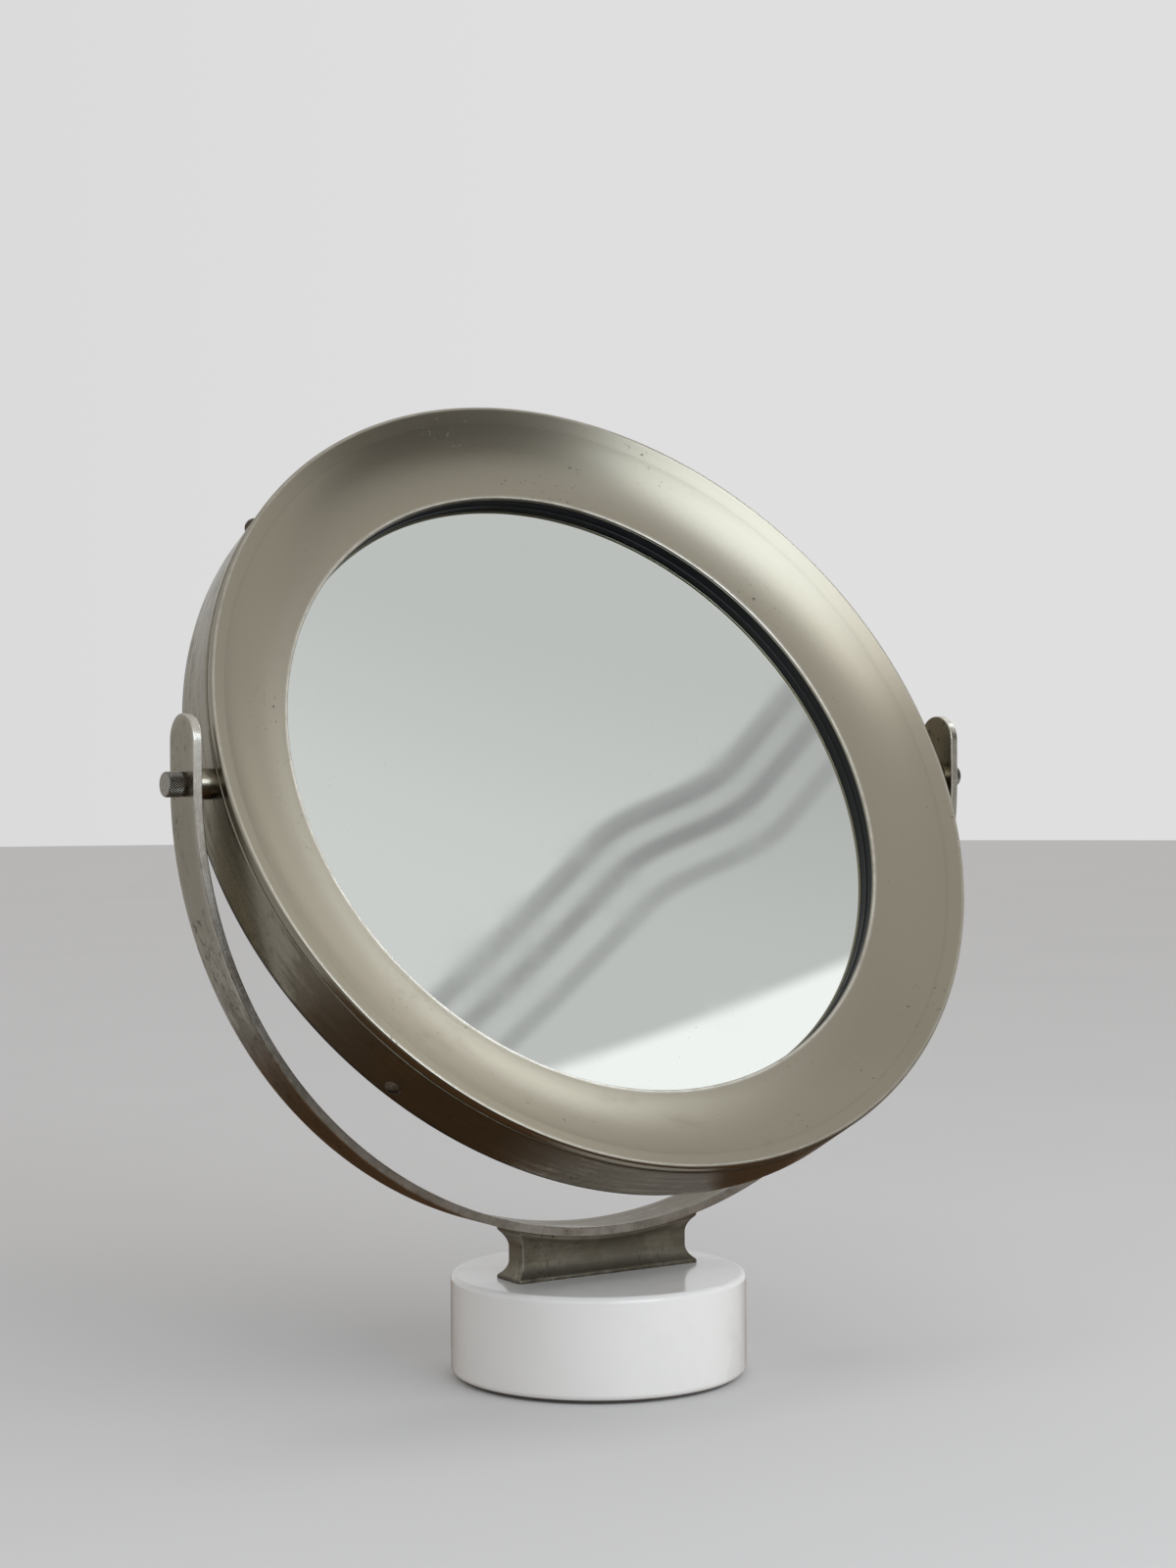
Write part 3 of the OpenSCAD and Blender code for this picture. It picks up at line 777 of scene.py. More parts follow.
def bent_strip(s):
    """The yoke: a rounded-edge section carried round a long oval, then bent into a U.

    A point of the flat strip is (run, across, lift): the medial run m(u) plus the section's
    reach (half width - inset) along the oval's normal n(u). Bending sends run to the U's
    path, lift to its outward normal and across to Y.
    """
    half, thick, e = s.yoke_width / 2, s.yoke_sheet, s.yoke_edge
    middle = s.yoke_radius - thick / 2
    straight_run = s.arm_rise - half
    bent_run = pi * middle
    ends = straight_run + bent_run / 2
    side_points, tip_points = 321, 33
    along = np.linspace(-ends, ends, side_points)
    tip = np.linspace(-pi / 2, pi / 2, tip_points)
    round_end = np.stack([np.cos(tip), np.sin(tip)], 1)
    run = np.concatenate([along, np.full(tip_points, ends), along[::-1],
                          np.full(tip_points, -ends), along[:1]])
    normal = np.concatenate([np.tile([0.0, -1.0], (side_points, 1)), round_end,
                             np.tile([0.0, 1.0], (side_points, 1)), -round_end, [[0.0, -1.0]]])
    # Section: reach from the medial line, and lift from the strip's mid thickness.
    section = outline(
        straight((0, -thick / 2), (half - e, -thick / 2)),
        bend((half - e, e - thick / 2), e, -90, 0, 6),
        straight((half, e - thick / 2), (half, thick / 2 - e)),
        bend((half - e, thick / 2 - e), e, 0, 90, 6),
        straight((half - e, thick / 2), (0, thick / 2)), closed=False)
    reach, lift = section[:, 0], section[:, 1]
    at = run[:, None] + normal[:, :1] * reach
    across = normal[:, 1:] * reach
    a = np.clip(at, -bent_run / 2, bent_run / 2) / middle
    rise = np.maximum(np.abs(at) - bent_run / 2, 0.0)
    out = middle + lift
    x, z = out * np.sin(a), PIVOT[2] - out * np.cos(a) + rise
    points = np.stack([x, across * np.ones_like(lift), z], -1)
    streak, round_edge = 100, 3
    grain = np.stack([at * streak, at * 0, across + lift * round_edge], -1)
    # The strip's edges are painted pale: partly rubbed metal, partly painted highlight.
    wear_and_highlight_amount, wear_and_highlight_width = 0.45, 1.6 * e
    relief = 0.5 + wear_and_highlight_amount * np.clip((reach - half + wear_and_highlight_width) / e, 0, 1) + 0 * at
    return Skin(points, np.stack([at, across * np.ones_like(lift)], -1), grain, relief)


def waisted_block(s):
    """The pedestal: a rectangle with rounded corners, drawn in by the cove as it rises.

    Inset c(v) is a circular hollow: none at the plain edges, deepest at the waist. The lower
    half keeps its height above the foot, and the upper half its depth under the yoke.
    """
    foot, e, c = top("marble_base"), s.foot_edge, s.foot_corner
    long, deep = s.foot_length / 2 - c, s.foot_width / 2 - c
    middle = (PIVOT[2] - s.yoke_radius - foot - s.waist_flat) / 2 - e
    hollow = (middle**2 + s.foot_cove**2) / (2 * s.foot_cove)
    off = np.linspace(middle, 0, 25)
    inset = s.foot_cove - hollow + np.sqrt(hollow**2 - off**2)
    chamfer, short_of = 0.0002, np.array([0.0006, 0.0003])
    rise = np.concatenate([[0, 0, chamfer, 0.001], e - short_of, e + middle - off])
    # The arris between plain edge and cove is eased: x becomes (x + sqrt(x^2 + w^2)) / 2.
    steep = (inset[1] - inset[0]) / (off[0] - off[1])
    x = np.concatenate([-short_of * steep, inset])
    eased = (x + np.sqrt(x**2 + s.foot_ease**2)) / 2
    draw = np.concatenate([[deep, chamfer, 0, 0], np.minimum(eased, s.foot_cove)])
    draw[4] *= 0.5  # the first point of the eased arris leaves the plain edge gently
    # Round the outline: four sides from corner to corner, each followed by a rounded corner.
    corner_points, long_points, short_points = 7, 65, 33
    turn = np.linspace(0, pi / 2, corner_points)
    cap = np.stack([np.cos(turn), np.sin(turn)], 1)
    across, along = np.linspace(-1, 1, long_points), np.linspace(-1, 1, short_points)
    one, unit = np.ones(long_points), np.ones(short_points)
    sides = [
        (np.stack([across, -one], 1), (0, -1)),
        (np.stack([unit, along], 1), (1, 0)),
        (np.stack([-across, one], 1), (0, 1)),
        (np.stack([-unit, -along], 1), (-1, 0)),
    ]
    where, facing = [], []
    spin = np.array([[0, -1], [1, 0]])
    for line, out in sides:
        where += [line, np.tile(line[-1], (corner_points, 1))]
        facing += [np.tile(out, (len(line), 1)), cap @ spin]
        spin = spin @ np.array([[0, 1], [-1, 0]])
    where, facing = np.concatenate(where + [where[0][:1]]), np.concatenate(facing + [facing[0][:1]])
    draw = np.concatenate([draw, draw[::-1]])
    reach_x, reach_y = long - draw, np.maximum(deep - draw, 0)
    pinch = np.where(draw >= deep - 1e-9, 0.0, 1.0)
    x = where[:, :1] * reach_x + c * facing[:, :1] * pinch
    y = where[:, 1:] * reach_y + c * facing[:, 1:] * pinch
    under = PIVOT[2] - np.sqrt(s.yoke_radius**2 - x**2)
    n = len(rise)
    z = np.concatenate([foot + rise + 0 * x[:, :n], under[:, n:] - rise[::-1]], 1)
    points = np.stack([x, y, z], -1)
    run = run_length(np.stack([x[:, n], y[:, n]], 1))[:, None]
    streak = 60
    grain = np.stack([run * streak + 0 * z, 0 * z, z], -1)
    # The upright corners are painted pale, partly rubbed metal and partly painted highlight; the
    # foot is painted dark where it meets the marble, partly dirt and partly painted shade.
    hump = np.sin(np.linspace(0, pi, corner_points))
    corner = np.concatenate([np.r_[np.zeros(len(line)), hump] for line, out in sides] + [[0]])
    grime_and_shade_height = 0.003
    relief = 0.5 + 0.4 * corner[:, None] - 0.5 * np.clip(1 - (z - foot) / grime_and_shade_height, 0, 1)
    return Skin(points, np.stack([run + 0 * z, z], -1), grain, np.clip(relief, 0, 1))


def knob_skin(s, side):
    """A knurled knob: two sets of helical V grooves cut a turned profile into diamonds.

    The radius at (angle a, height h) is r - depth * (1 - min(d1, d2)) on the knurled wall,
    where d is the distance to the nearest groove of a set, 0 in it and 1 midway. The rims,
    the flat face and the bore are plain.
    """
    low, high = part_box("thumb_knob_right")
    inner, outer, r, c = low[0], high[0], s.knob_radius, s.knob_chamfer
    bore, depth = s.bore_radius, 0.75 * (outer - inner)
    knurl_rows, face_rings, ripple_depth = 73, 22, 0.00003
    pitch = s.knurl_stretch * 2 * pi * r / s.knurl_count
    knurl = np.linspace(inner + c, outer - c, knurl_rows)
    face = np.linspace(r - c - 1.5 * GAP, 0, face_rings)
    ripple = np.where(np.arange(face_rings) % 2, ripple_depth, 0.0) * (face < r - 2 * c)
    profile = outline(
        [(0, inner + depth), (bore, inner + depth), (bore, inner)],
        straight((bore + GAP, inner), (r - c, inner)),
        np.stack([np.full(knurl_rows, r), knurl], 1),
        straight((r - c, outer), (r - c - GAP, outer)),
        np.stack([face, outer - ripple], 1), closed=False)
    columns_per_diamond = 12
    a = np.linspace(0, 2 * pi, s.knurl_count * columns_per_diamond + 1)[:, None]
    radius, h = profile[:, 0], profile[:, 1]
    knurled = np.where(radius >= r - 1e-9, 1.0, 0.0)

    def from_groove(turns):
        """0 in a groove of the set and 1 midway between two."""
        part = turns % 1.0
        return 2 * np.minimum(part, 1 - part)

    wrap, climb = s.knurl_count * a / (2 * pi), (h - inner) / pitch
    crest = np.minimum(from_groove(wrap + climb), from_groove(wrap - climb))
    cut = radius - s.knurl_depth * knurled * (1 - crest)
    points = np.stack([cut * np.cos(a), cut * np.sin(a), h + 0 * a], -1)
    uv = np.stack([a / (2 * pi) + 0 * h, run_length(profile) + 0 * a], -1)
    # The finish paints the crests bright and the grooves dark from this relief: painted highlight
    # and painted shade.
    relief = knurled * crest + (1 - knurled) * 0.5 + 0 * a
    return Skin(on_pivot(side)(points), uv, relief=relief)


def spacer_skin(s, h, side):
    """A turned spacer whose inner end is saddled to the band: x = sqrt(R^2 - (r cos a)^2)."""
    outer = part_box("spacer_right")[1][0]
    chamfer, streak = 0.0004, 8
    r, bore, slight = s.spacer_radius, s.bore_radius, 0.3 * chamfer
    a = np.linspace(0, 2 * pi, 129)[:, None]
    # From the bore over the saddle, along the wall, over the chamfer and back to the bore:
    # radius, share of the way from the saddle to the outer face, and drop below that face.
    radius = np.array([bore, r - GAP, r, r, r, r - slight, r - chamfer, bore, bore])
    reach = np.array([0, 0, 0, 0.03, 0.97, 1, 1, 1.0, 0])
    drop = np.array([0, 0, 0, 0, 0, slight, 0, 0, 0])
    # The band curves in the plane of the glass, so the saddle follows that direction.
    across = radius * np.cos(a - h.tilt)
    saddle = np.sqrt(h.band_radius**2 - across**2)
    x = saddle + (outer - saddle) * reach - drop
    x[:, 4] = outer - chamfer
    points = np.stack([radius * np.cos(a), radius * np.sin(a), x], -1)
    uv = np.stack([a / (2 * pi) + 0 * radius, x], -1)
    grain = np.stack([streak * np.cos(a) + 0 * radius, streak * np.sin(a) + 0 * radius, x], -1)
    return Skin(on_pivot(side)(points), uv, grain)


def dome_skins(h):
    """Slotted round heads: a spherical cap over a disc, with a flat-bottomed slot across it.

    The disc's lines run along the slot, (u, w sqrt(r^2 - u^2)), so its edges stay crisp.
    """
    r, lift, slot = h.screw_radius, h.screw_height, h.screw_slot
    sphere = (r**2 + lift**2) / (2 * lift)
    half, floor = slot / 2, lift - slot
    lead_in, flank, hair = 0.00008, 0.0009, 1e-6
    side = np.concatenate([[half, half + lead_in], np.linspace(flank, r - GAP, 14), [r]])
    u = np.concatenate([-side[::-1], [-half + hair, 0, half - hair], side])
    w = np.sin(np.linspace(-pi / 2, pi / 2, 25))
    x = u[:, None] + 0 * w
    y = w * np.sqrt(np.maximum(r**2 - x**2, 0))
    z = np.sqrt(sphere**2 - x**2 - y**2) - (sphere - lift)
    z = np.where(np.abs(x) < half, np.minimum(z, floor), z)
    skins = []
    for k in range(h.screw_count):
        a = pi / 4 + 2 * pi * k / h.screw_count
        # Local outward, round and forward directions at this screw, in the head's own frame.
        out, about = np.array([cos(a), sin(a), 0]), np.array([-sin(a), cos(a), 0])
        fore = np.array([0, 0, 1.0])
        spin = radians(35 + 50 * k)
        over_slot = cos(spin) * about + sin(spin) * fore
        along_slot = cos(spin) * fore - sin(spin) * about
        centre = out * h.band_radius + fore * (h.screw_set_in - h.band_back)
        flat = centre + x[..., None] * over_slot + y[..., None] * along_slot
        dome = Skin(in_head(flat + z[..., None] * out), np.stack([x, y], -1))
        under = Skin(in_head(flat), np.stack([x, y], -1))
        under.faces = dome.faces[:, ::-1]
        skins += [dome, under]
    return skins


# ---------------------------------------------------------------- operators: the head


class MirrorOperator(bpy.types.Operator):
    """Shared options of the operators below."""

    bl_options = {"REGISTER", "UNDO"}


class MIRROR_OT_spun_ring(MirrorOperator):
    """Front ring: spun nickel dish with a beaded lip and rim."""

    bl_idname = "mirror.spun_ring"
    bl_label = "Spun ring"

    def execute(self, context):
        h = settings("mirror_head")
        profile = ring_profile(h)
        dish = dish_section(h)
        crest = (h.band_radius - h.rim_bead, h.rim_front)
        hem = (h.band_radius - h.hem_step, h.band_front)
        # The lip and the crest are painted pale, partly rubbed metal and partly painted highlight;
        # the crease and the hem are painted dark, partly dirt and partly painted shade.
        relief = relief_spots(profile, ((dish.lip, 0.5), (dish.crease, -0.12), (crest, 0.25), (hem, -0.2)))
        skin = lathe(profile, in_head, turns=576, relief=relief)
        metal = nickel("Spun nickel", along=1.0, across=2400.0, dulled=0.30, pits=0.85,
                       streak=0.25, matt=0.03, mottled=0.10)
        make_piece("Spun_ring", [skin], metal, "mirror_head", ["front_ring"])
        return {"FINISHED"}


class MIRROR_OT_side_hoop(MirrorOperator):
    """Side band: rolled nickel hoop, darker towards the bottom."""

    bl_idname = "mirror.side_hoop"
    bl_label = "Side band"

    def execute(self, context):
        h = settings("mirror_head")
        profile = band_profile(h)
        front, rear = (h.band_radius, h.band_front), (h.band_radius, -h.band_back)
        # Its front and rear edges, where it meets the ring and the cover, are painted dark: partly
        # dirt, partly painted shade.
        relief = relief_spots(profile, ((front, -0.15), (rear, -0.5)), reach=0.0022)
        skin = lathe(profile, in_head, turns=576, streak=12.0, relief=relief)
        metal = nickel("Banded nickel", along=1.0, across=1700.0, dulled=0.50, darker_below=0.28,
                       pits=1.0, streak=1.8, spots=0.40)
        make_piece("Side_hoop", [skin], metal, "mirror_head", ["side_band"])
        return {"FINISHED"}


class MIRROR_OT_recess_lining(MirrorOperator):
    """Glass gasket: plain black lining of the recess."""

    bl_idname = "mirror.recess_lining"
    bl_label = "Recess lining"

    def execute(self, context):
        skin = lathe(gasket_profile(settings("mirror_head")), in_head, turns=384)
        make_piece("Recess_lining", [skin], black_rubber(), "mirror_head",
                   ["glass_gasket"])
        return {"FINISHED"}


class MIRROR_OT_back_cover(MirrorOperator):
    """Rear cover: pressed disc in black enamel."""

    bl_idname = "mirror.back_cover"
    bl_label = "Back cover"

    def execute(self, context):
        skin = lathe(cover_profile(settings("mirror_head")), in_head, turns=384)
        make_piece("Back_cover", [skin], black_enamel(), "mirror_head",
                   ["rear_cover"])
        return {"FINISHED"}


class MIRROR_OT_cover_screws(MirrorOperator):
    """Cover screws: slotted round heads on the side band."""

    bl_idname = "mirror.cover_screws"
    bl_label = "Cover screws"

    def execute(self, context):
        make_piece("Round_heads", dome_skins(settings("mirror_head")), once(blackened_steel),
                   "mirror_head", ["cover_screws"])
        return {"FINISHED"}


class MIRROR_OT_glass_stack(MirrorOperator):
    """Glass, pad and hardboard: CAD nodes with their finishes."""

    bl_idname = "mirror.glass_stack"
    bl_label = "Glass stack"

    def execute(self, context):
        give_finish("mirror_glass", silvered_glass())
        give_finish("backing_pad", once(pressed_felt))
        give_finish("backing_board", pressed_board())
        return {"FINISHED"}


# ---------------------------------------------------------------- operators: stand and screws


class MIRROR_OT_marble(MirrorOperator):
    """Marble base: a polished drum with rounded edges."""

    bl_idname = "mirror.marble"
    bl_label = "Marble base"

    def execute(self, context):
        s = settings("mirror_stand")
        low, high, r, e = bottom("marble_base"), top("marble_base"), s.base_radius, s.base_edge
        core, hold = 0.03, 0.001
        profile = outline(
            [(0, low), (core, low)],
            straight((core, low), (r - e, low), hold),
            bend((r - e, low + e), e, -90, 0, 12),
            straight((r, low + e), (r, high - e), hold),
            bend((r - e, high - e), e, 0, 90, 12),
            straight((r - e, high), (core, high), hold),
            [(0, high)], closed=False)
        make_piece("Marble_drum", [lathe(profile, upright, turns=256)], polished_marble(),
                   "stand", ["marble_base"])
        return {"FINISHED"}


class MIRROR_OT_felt(MirrorOperator):
    """Felt pad: a soft disc under the marble, squeezed out a little at its edge."""

    bl_idname = "mirror.felt"
    bl_label = "Felt pad"

    def execute(self, context):
        r, high = settings("mirror_stand").felt_radius, top("felt_pad")
        core, flat, half = 0.03, r - 0.0008, high / 2
        profile = outline(
            [(0, 0), (core, 0)],
            straight((core, 0), (flat, 0)),
            bend((r - half, half), half, -90, 90, 12),
            straight((flat, high), (core, high)),
            [(0, high)], closed=False)
        make_piece("Felt_disc", [lathe(profile, upright, turns=192)], once(pressed_felt),
                   "stand", ["felt_pad"])
        return {"FINISHED"}


class MIRROR_OT_yoke(MirrorOperator):
    """Yoke: one bent nickel strip with full-round ends and polished edges, painted pale along them
    as painted highlight.
    """

    bl_idname = "mirror.yoke"
    bl_label = "Yoke"

    def execute(self, context):
        metal = nickel("Strip nickel", along=1.0, across=1500.0, dulled=0.45, darker_below=0.32,
                       pits=1.0, streak=1.2, spots=1.0)
        make_piece("Bent_strip", [bent_strip(settings("mirror_stand"))], metal,
                   "stand", ["yoke"])
        return {"FINISHED"}


class MIRROR_OT_pedestal(MirrorOperator):
    """Pedestal: waisted nickel block whose top follows the yoke."""

    bl_idname = "mirror.pedestal"
    bl_label = "Pedestal"

    def execute(self, context):
        metal = nickel("Cast nickel", along=1.0, across=1400.0, dulled=0.95, pits=1.0, streak=0.9,
                       spots=0.55, matt=0.14)
        make_piece("Waisted_block", [waisted_block(settings("mirror_stand"))], metal,
                   "stand", ["pedestal"])
        return {"FINISHED"}


class MIRROR_OT_thumb_screws(MirrorOperator):
    """Thumb screws: knurled knobs, their washers, and the spacers on the band."""

    bl_idname = "mirror.thumb_screws"
    bl_label = "Thumb screws"

    def execute(self, context):
        s, h = settings("mirror_stand"), settings("mirror_head")
        knurl, dark = knurled_nickel(), once(blackened_steel)
        turned = nickel("Turned nickel", along=1.0, across=3000.0, dulled=0.35, pits=0.6)
        plain = nickel("Stud nickel", own_grain=False, dulled=0.4, pits=0.0)
        low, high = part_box("knob_washer_right")
        inner, outer, rim = low[0], high[0], extent("knob_washer_right", 2) / 2
        bore = s.bore_radius
        washer = outline(
            straight((bore, inner), (rim - GAP, inner)),
            straight((rim, inner + GAP), (rim, outer - GAP)),
            straight((rim - GAP, outer), (bore, outer)),
        )
        for side, word in ((-1, "left"), (1, "right")):
            screw = f"thumb_screw_{word}"
            make_piece(f"Knurled_knob_{word}", [knob_skin(s, side)], knurl, screw,
                       [f"thumb_knob_{word}"])
            make_piece(f"Dark_washer_{word}", [lathe(washer, on_pivot(side), turns=96)], dark,
                       screw, [f"knob_washer_{word}"])
            make_piece(f"Saddled_spacer_{word}", [spacer_skin(s, h, side)], turned,
                       "mirror_head", [f"spacer_{word}"])
            give_finish(f"thumb_stud_{word}", plain)
            give_finish(f"pivot_nut_{word}", plain)
        zinc = zinc_plate()
        for node in ("yoke_studs", "stud_washers", "stud_nuts"):
            give_finish(node, zinc)
        return {"FINISHED"}


# ---------------------------------------------------------------- operator: the stage


def heading(turn, rise):
    """Unit vector at a turn from +Y towards +X and a rise above level, in degrees."""
    a, e = radians(turn), radians(rise)
    return Vector((sin(a) * cos(e), cos(a) * cos(e), sin(e)))


def soft_box(name, turn, rise, size, radiance, colour, distance=2.2):
    """A soft light of even radiance that faces the mirror and doesn't show to the camera."""
    light = bpy.data.lights.new(name, "AREA")
    light.shape, light.size, light.size_y = "RECTANGLE", *size
    light.energy, light.color = radiance * pi * size[0] * size[1], colour
    lamp = bpy.data.objects.new(name, light)
    toward = heading(turn, rise)
    lamp.location = Vector((0, 0, PIVOT[2])) + toward * distance
    lamp.rotation_euler = toward.to_track_quat("Z", "Y").to_euler()
    lamp.visible_camera = False
    bpy.context.scene.collection.objects.link(lamp)
    return lamp


def glowing_reflection_sheet(name, corners, colour):
    """A sheet that glows with its own colour and only shows in shiny surfaces: a painted
    reflection, lit by nothing.
    """
    mesh = bpy.data.meshes.new(name)
    mesh.from_pydata([tuple(c) for c in corners], [], [tuple(range(len(corners)))])
    material = bpy.data.materials.new(name)
    material.use_nodes = True
    tree = material.node_tree
    tree.nodes.clear()
    # It glows though it is no lamp: a painted reflection.
    glow = tree.nodes.new("ShaderNodeEmission")
    glow.inputs["Color"].default_value = (*colour, 1.0)
    out = tree.nodes.new("ShaderNodeOutputMaterial")
    tree.links.new(glow.outputs[0], out.inputs[0])
    mesh.materials.append(material)
    sheet = bpy.data.objects.new(name, mesh)
    for ray in ("camera", "diffuse", "shadow", "transmission", "volume_scatter"):
        setattr(sheet, f"visible_{ray}", False)
    bpy.context.scene.collection.objects.link(sheet)
    return sheet


class MIRROR_OT_studio(MirrorOperator):
    """Studio: pale floor, even room light, soft boxes, glowing sheets that paint reflections, and
    camera.
    """

    bl_idname = "mirror.studio"
    bl_label = "Studio"

    def execute(self, context):
        s = settings("mirror_studio")
        scene = context.scene
        self.floor(s)
        self.room(s, scene)
        self.lights(s)
        self.painted_reflections()
        self.camera(s, scene)
        return {"FINISHED"}

    def floor(self, s):
        """A wide disc, z = 0, plain and matt."""
        radius, corners = 9, 128
        a = np.linspace(0, 2 * pi, corners + 1)[:-1]
        rim = np.stack([radius * np.cos(a), radius * np.sin(a), 0 * a], 1)
        mesh = bpy.data.meshes.new("Floor")
        mesh.from_pydata(rim, [], [tuple(range(corners))])
        m = Finish("Floor", Roughness=1.0, Specular_IOR_Level=0.0)
        tone = m.noise(m.place(), 3.0, 3.0)
        m.set(Base_Color=m.mix(m.between(tone, 0.3, 0.7, 0.0, 0.05), s.floor, (0.5, 0.5, 0.5)))
        mesh.materials.append(m.material)
        floor = bpy.data.objects.new("Floor", mesh)
        bpy.context.scene.collection.objects.link(floor)

    def room(self, s, scene):
        """The room that the metal and the glass mirror: pale walls, a cornice and a window."""
        world = bpy.data.worlds.new("Room")
        scene.world = world
        world.use_nodes = True
        m = Nodes(world.node_tree)
        back = m.tree.nodes["Background"]
        back.inputs[0].default_value = (*s.room, 1.0)
        way = m.add("TexCoord").outputs["Generated"]
        x, y, z = m.add("SeparateXYZ", {0: way}).outputs
        turn = m.math("MULTIPLY", m.math("ARCTAN2", x, y), 180 / pi)
        rise = m.math("MULTIPLY", m.math("ARCSINE", z), 180 / pi)

        def within(value, low, high, soft):
            """1 between low and high, easing to 0 over the soft width beyond each."""
            return m.math("MULTIPLY", m.between(value, low - soft, low),
                          m.between(value, high, high + soft, 1.0, 0.0))

        def towards(turn, rise, near, far):
            """1 in this direction, easing to 0 between the two angles away from it."""
            dot = m.add("VectorMath", {0: way, 1: heading(turn, rise)},
                        operation="DOT_PRODUCT").outputs["Value"]
            return m.between(dot, cos(radians(far)), cos(radians(near)))

        def darker(level, where, amount):
            return m.math("SUBTRACT", level, m.math("MULTIPLY", where, amount))

        level = darker(1.0, towards(300, 0, 0, 100), 0.25)
        # The cornice turns a corner: its lines rise to it and step up beyond, in degrees.
        corner, climb, step_width = 132.0, 0.11, 4.5
        line = m.math("ADD", rise, m.math("MULTIPLY", m.math("SUBTRACT", turn, corner), climb))
        line = m.math("ADD", line, m.between(turn, corner, corner - step_width))
        seen = within(turn, 118, 142, 3.0)
        wall = m.math("MULTIPLY", m.between(line, 42.9, 42.3), seen)
        level = darker(level, wall, 0.17)
        # The lines are fainter beyond the corner.
        drawn, soft = m.math("MULTIPLY", seen, m.between(turn, 125.0, 130.0, 0.55, 1.0)), 0.26
        for height, half, depth in ((42.50, 0.10, 0.30), (41.70, 0.06, 0.32), (40.85, 0.05, 0.22)):
            stripe = within(line, height - half, height + half, soft)
            level = darker(level, m.math("MULTIPLY", stripe, drawn), depth)
        # The wall dims towards its upper right.
        slant = m.math("SUBTRACT", rise, turn)
        level = darker(level, seen, m.between(slant, -93.0, -82.0, 0.0, 0.16))
        # The window's pane: a slanted upper edge, a left and a right edge, and a soft foot.
        pane_edge, pane_slant, pane_level = 131.0, 0.25, 0.62
        sill = m.math("MULTIPLY", m.math("SUBTRACT", turn, pane_edge), pane_slant)
        pane = m.between(m.math("SUBTRACT", rise, sill), 38.15, 37.75)
        pane = m.math("MULTIPLY", pane, within(turn, 126, 138, 2.0))
        pane = m.math("MULTIPLY", pane, m.between(rise, 33.0, 36.0))
        level = m.math("ADD", level, m.math("MULTIPLY", pane, pane_level))
        m.feed(back, 1, m.math("MULTIPLY", level, s.room_light))
        scene.view_settings.view_transform = "Standard"

    def lights(self, s):
        """A window and its head, a side window with a glow beside it, a strip and a fill."""
        k = s.window_light
        sky, blue, cool = (0.74, 0.86, 1.0), (0.75, 0.87, 1.0), (0.82, 0.90, 1.0)
        pale, warm = (0.95, 0.96, 1.0), (1.0, 0.97, 0.93)
        soft_box("Window", 179, 20, (1.36, 0.95), 3.3 * k, sky)
        head = soft_box("Window_head", 184, 36, (0.85, 0.25), 2.1 * k, pale)
        side = soft_box("Side_window", 107, 44.8, (0.70, 0.15), 5.2 * k, cool)
        glow = soft_box("Side_glow", 74, 35, (1.20, 0.45), 0.70 * k, warm)
        soft_box("Strip", 143, 20.5, (0.7, 0.09), 5.0 * k, blue)
        fill = soft_box("Fill", 150, 18, (0.9, 0.7), 2.1 * k, (1.0, 0.965, 0.92), distance=1.6)
        # Three lamps only show in shiny surfaces, and the fill only lights matt ones.
        for lamp in (head, side, glow):
            lamp.visible_diffuse = False
        fill.visible_glossy = False

    def painted_reflections(self):
        """Painted reflections: a brown glowing disc under the mirror, a dark glowing sheet before
        it and a dark glowing screen beyond.
        """
        brown, dark = (0.11, 0.064, 0.034), (0.075, 0.066, 0.055)
        disc, disc_height = 0.42, 0.0006
        a = np.linspace(0, 2 * pi, 65)[:-1]
        glowing_reflection_sheet("Table_card", [(disc * cos(t), disc * sin(t), disc_height) for t in a], brown)
        wide, near, far, height = 2.5, -0.25, -3.0, 0.0004
        glowing_reflection_sheet("Front_card", [(-wide, near, height), (wide, near, height),
                            (wide, far, height), (-wide, far, height)], dark)
        away, low, high = 1.5, 0.366, 0.95
        left, right = heading(157, 0) * away, heading(120, 0) * away
        glowing_reflection_sheet("Dark_card", [(left.x, left.y, low), (right.x, right.y, low),
                           (right.x, right.y, high), (left.x, left.y, high)], dark)

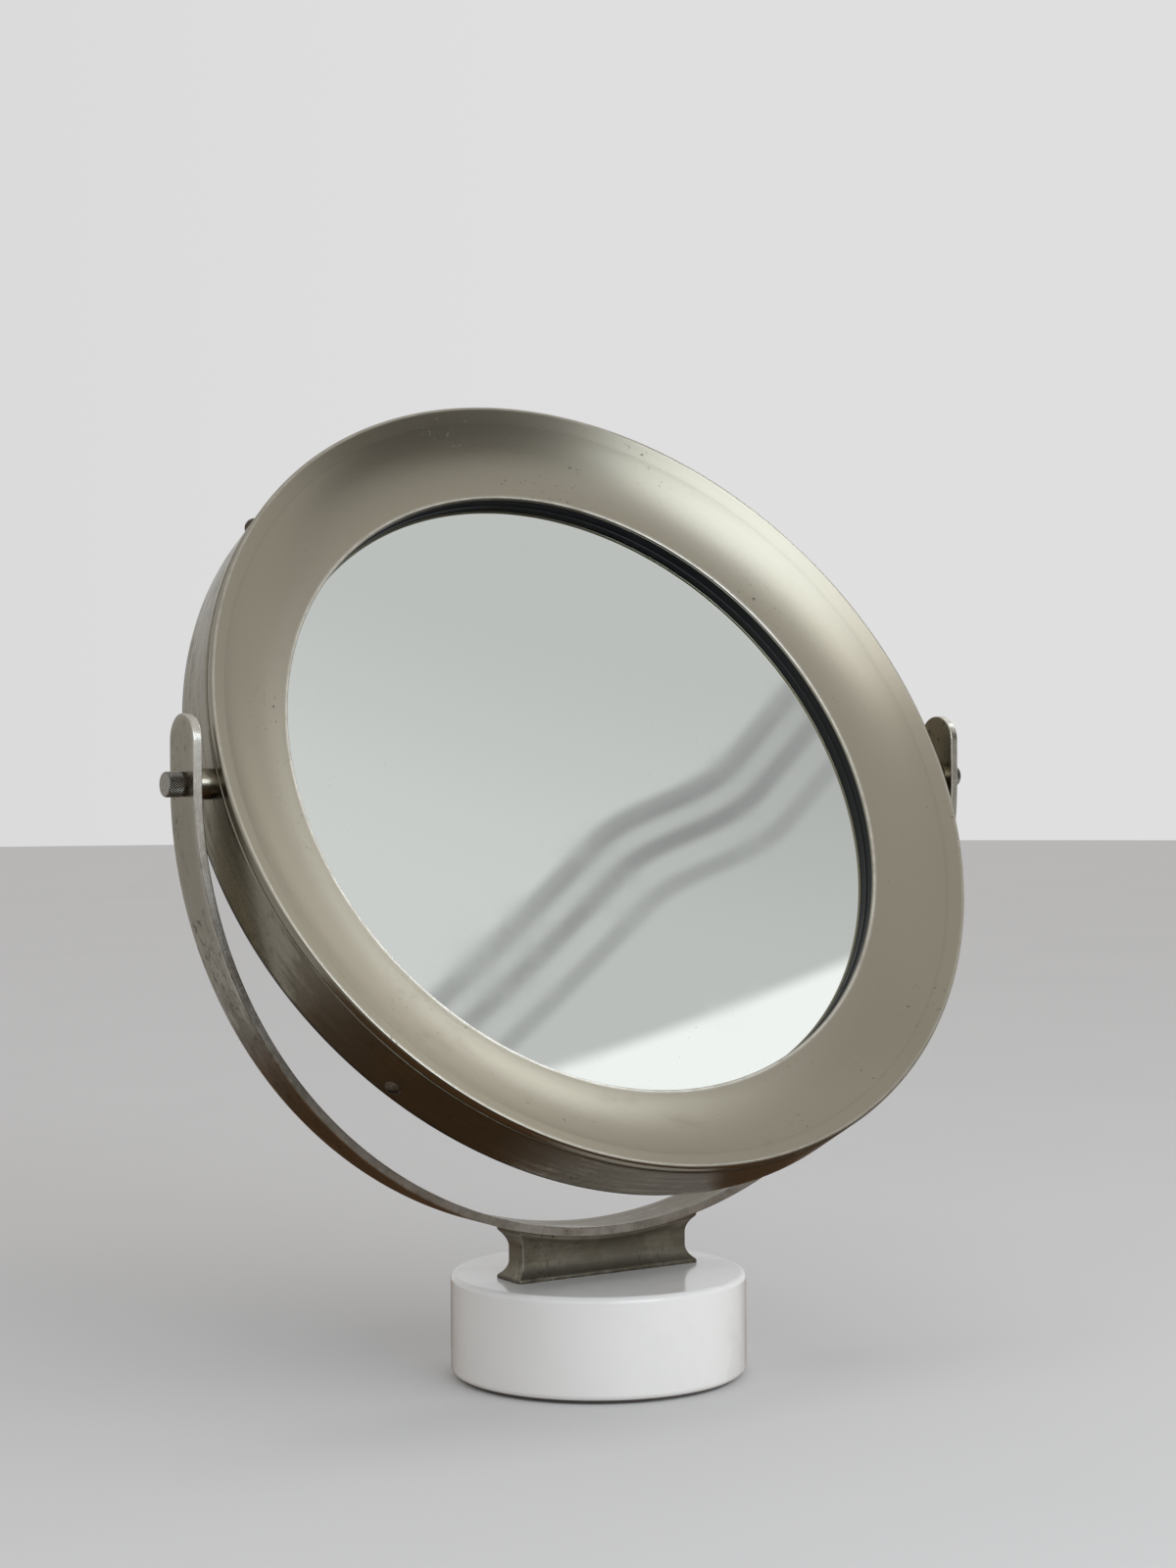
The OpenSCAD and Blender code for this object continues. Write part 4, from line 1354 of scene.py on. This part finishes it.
    def camera(self, s, scene):
        """The camera looks along its heading, dipped and rolled; its up is square to that."""
        ahead = heading(np.degrees(s.camera_turn), -np.degrees(s.camera_dip))
        side = heading(np.degrees(s.camera_turn) + 90, 0)
        above = side.cross(ahead)
        c, r = cos(s.camera_roll), sin(s.camera_roll)
        x, y = c * side + r * above, c * above - r * side
        data = bpy.data.cameras.new("Camera")
        data.sensor_fit, data.sensor_height, data.lens = "VERTICAL", 24.0, s.camera_lens
        data.clip_start, data.clip_end = 0.01, 100.0
        camera = bpy.data.objects.new("Camera", data)
        turn = Matrix((x, y, -ahead)).transposed()
        camera.matrix_world = Matrix.Translation(s.camera_from) @ turn.to_4x4()
        scene.collection.objects.link(camera)
        scene.camera = camera


OPERATORS = (
    MIRROR_OT_spun_ring, MIRROR_OT_side_hoop, MIRROR_OT_recess_lining, MIRROR_OT_back_cover,
    MIRROR_OT_cover_screws, MIRROR_OT_glass_stack, MIRROR_OT_marble, MIRROR_OT_felt,
    MIRROR_OT_yoke, MIRROR_OT_pedestal, MIRROR_OT_thumb_screws, MIRROR_OT_studio,
)


class MIRROR_PT_panel(bpy.types.Panel):
    """Lists the pieces and the settings in the sidebar."""

    bl_label = "Tilting table mirror"
    bl_space_type = "VIEW_3D"
    bl_region_type = "UI"
    bl_category = "Mirror"

    def draw(self, context):
        for operator in OPERATORS:
            self.layout.operator(operator.bl_idname)
        for name, group in GROUPS.items():
            box = self.layout.box()
            for key in group.__annotations__:
                box.prop(getattr(context.scene, name), key)


def register():
    for group in GROUPS.values():
        bpy.utils.register_class(group)
    for name, group in GROUPS.items():
        setattr(bpy.types.Scene, name, PointerProperty(type=group))
    for cls in (*OPERATORS, MIRROR_PT_panel):
        bpy.utils.register_class(cls)


def unregister():
    for cls in (MIRROR_PT_panel, *reversed(OPERATORS)):
        bpy.utils.unregister_class(cls)
    for name, group in reversed(GROUPS.items()):
        delattr(bpy.types.Scene, name)
        bpy.utils.unregister_class(group)


def main():
    register()
    for operator in OPERATORS:
        family, name = operator.bl_idname.split(".")
        getattr(getattr(bpy.ops, family), name)()


if __name__ == "__main__":
    main()
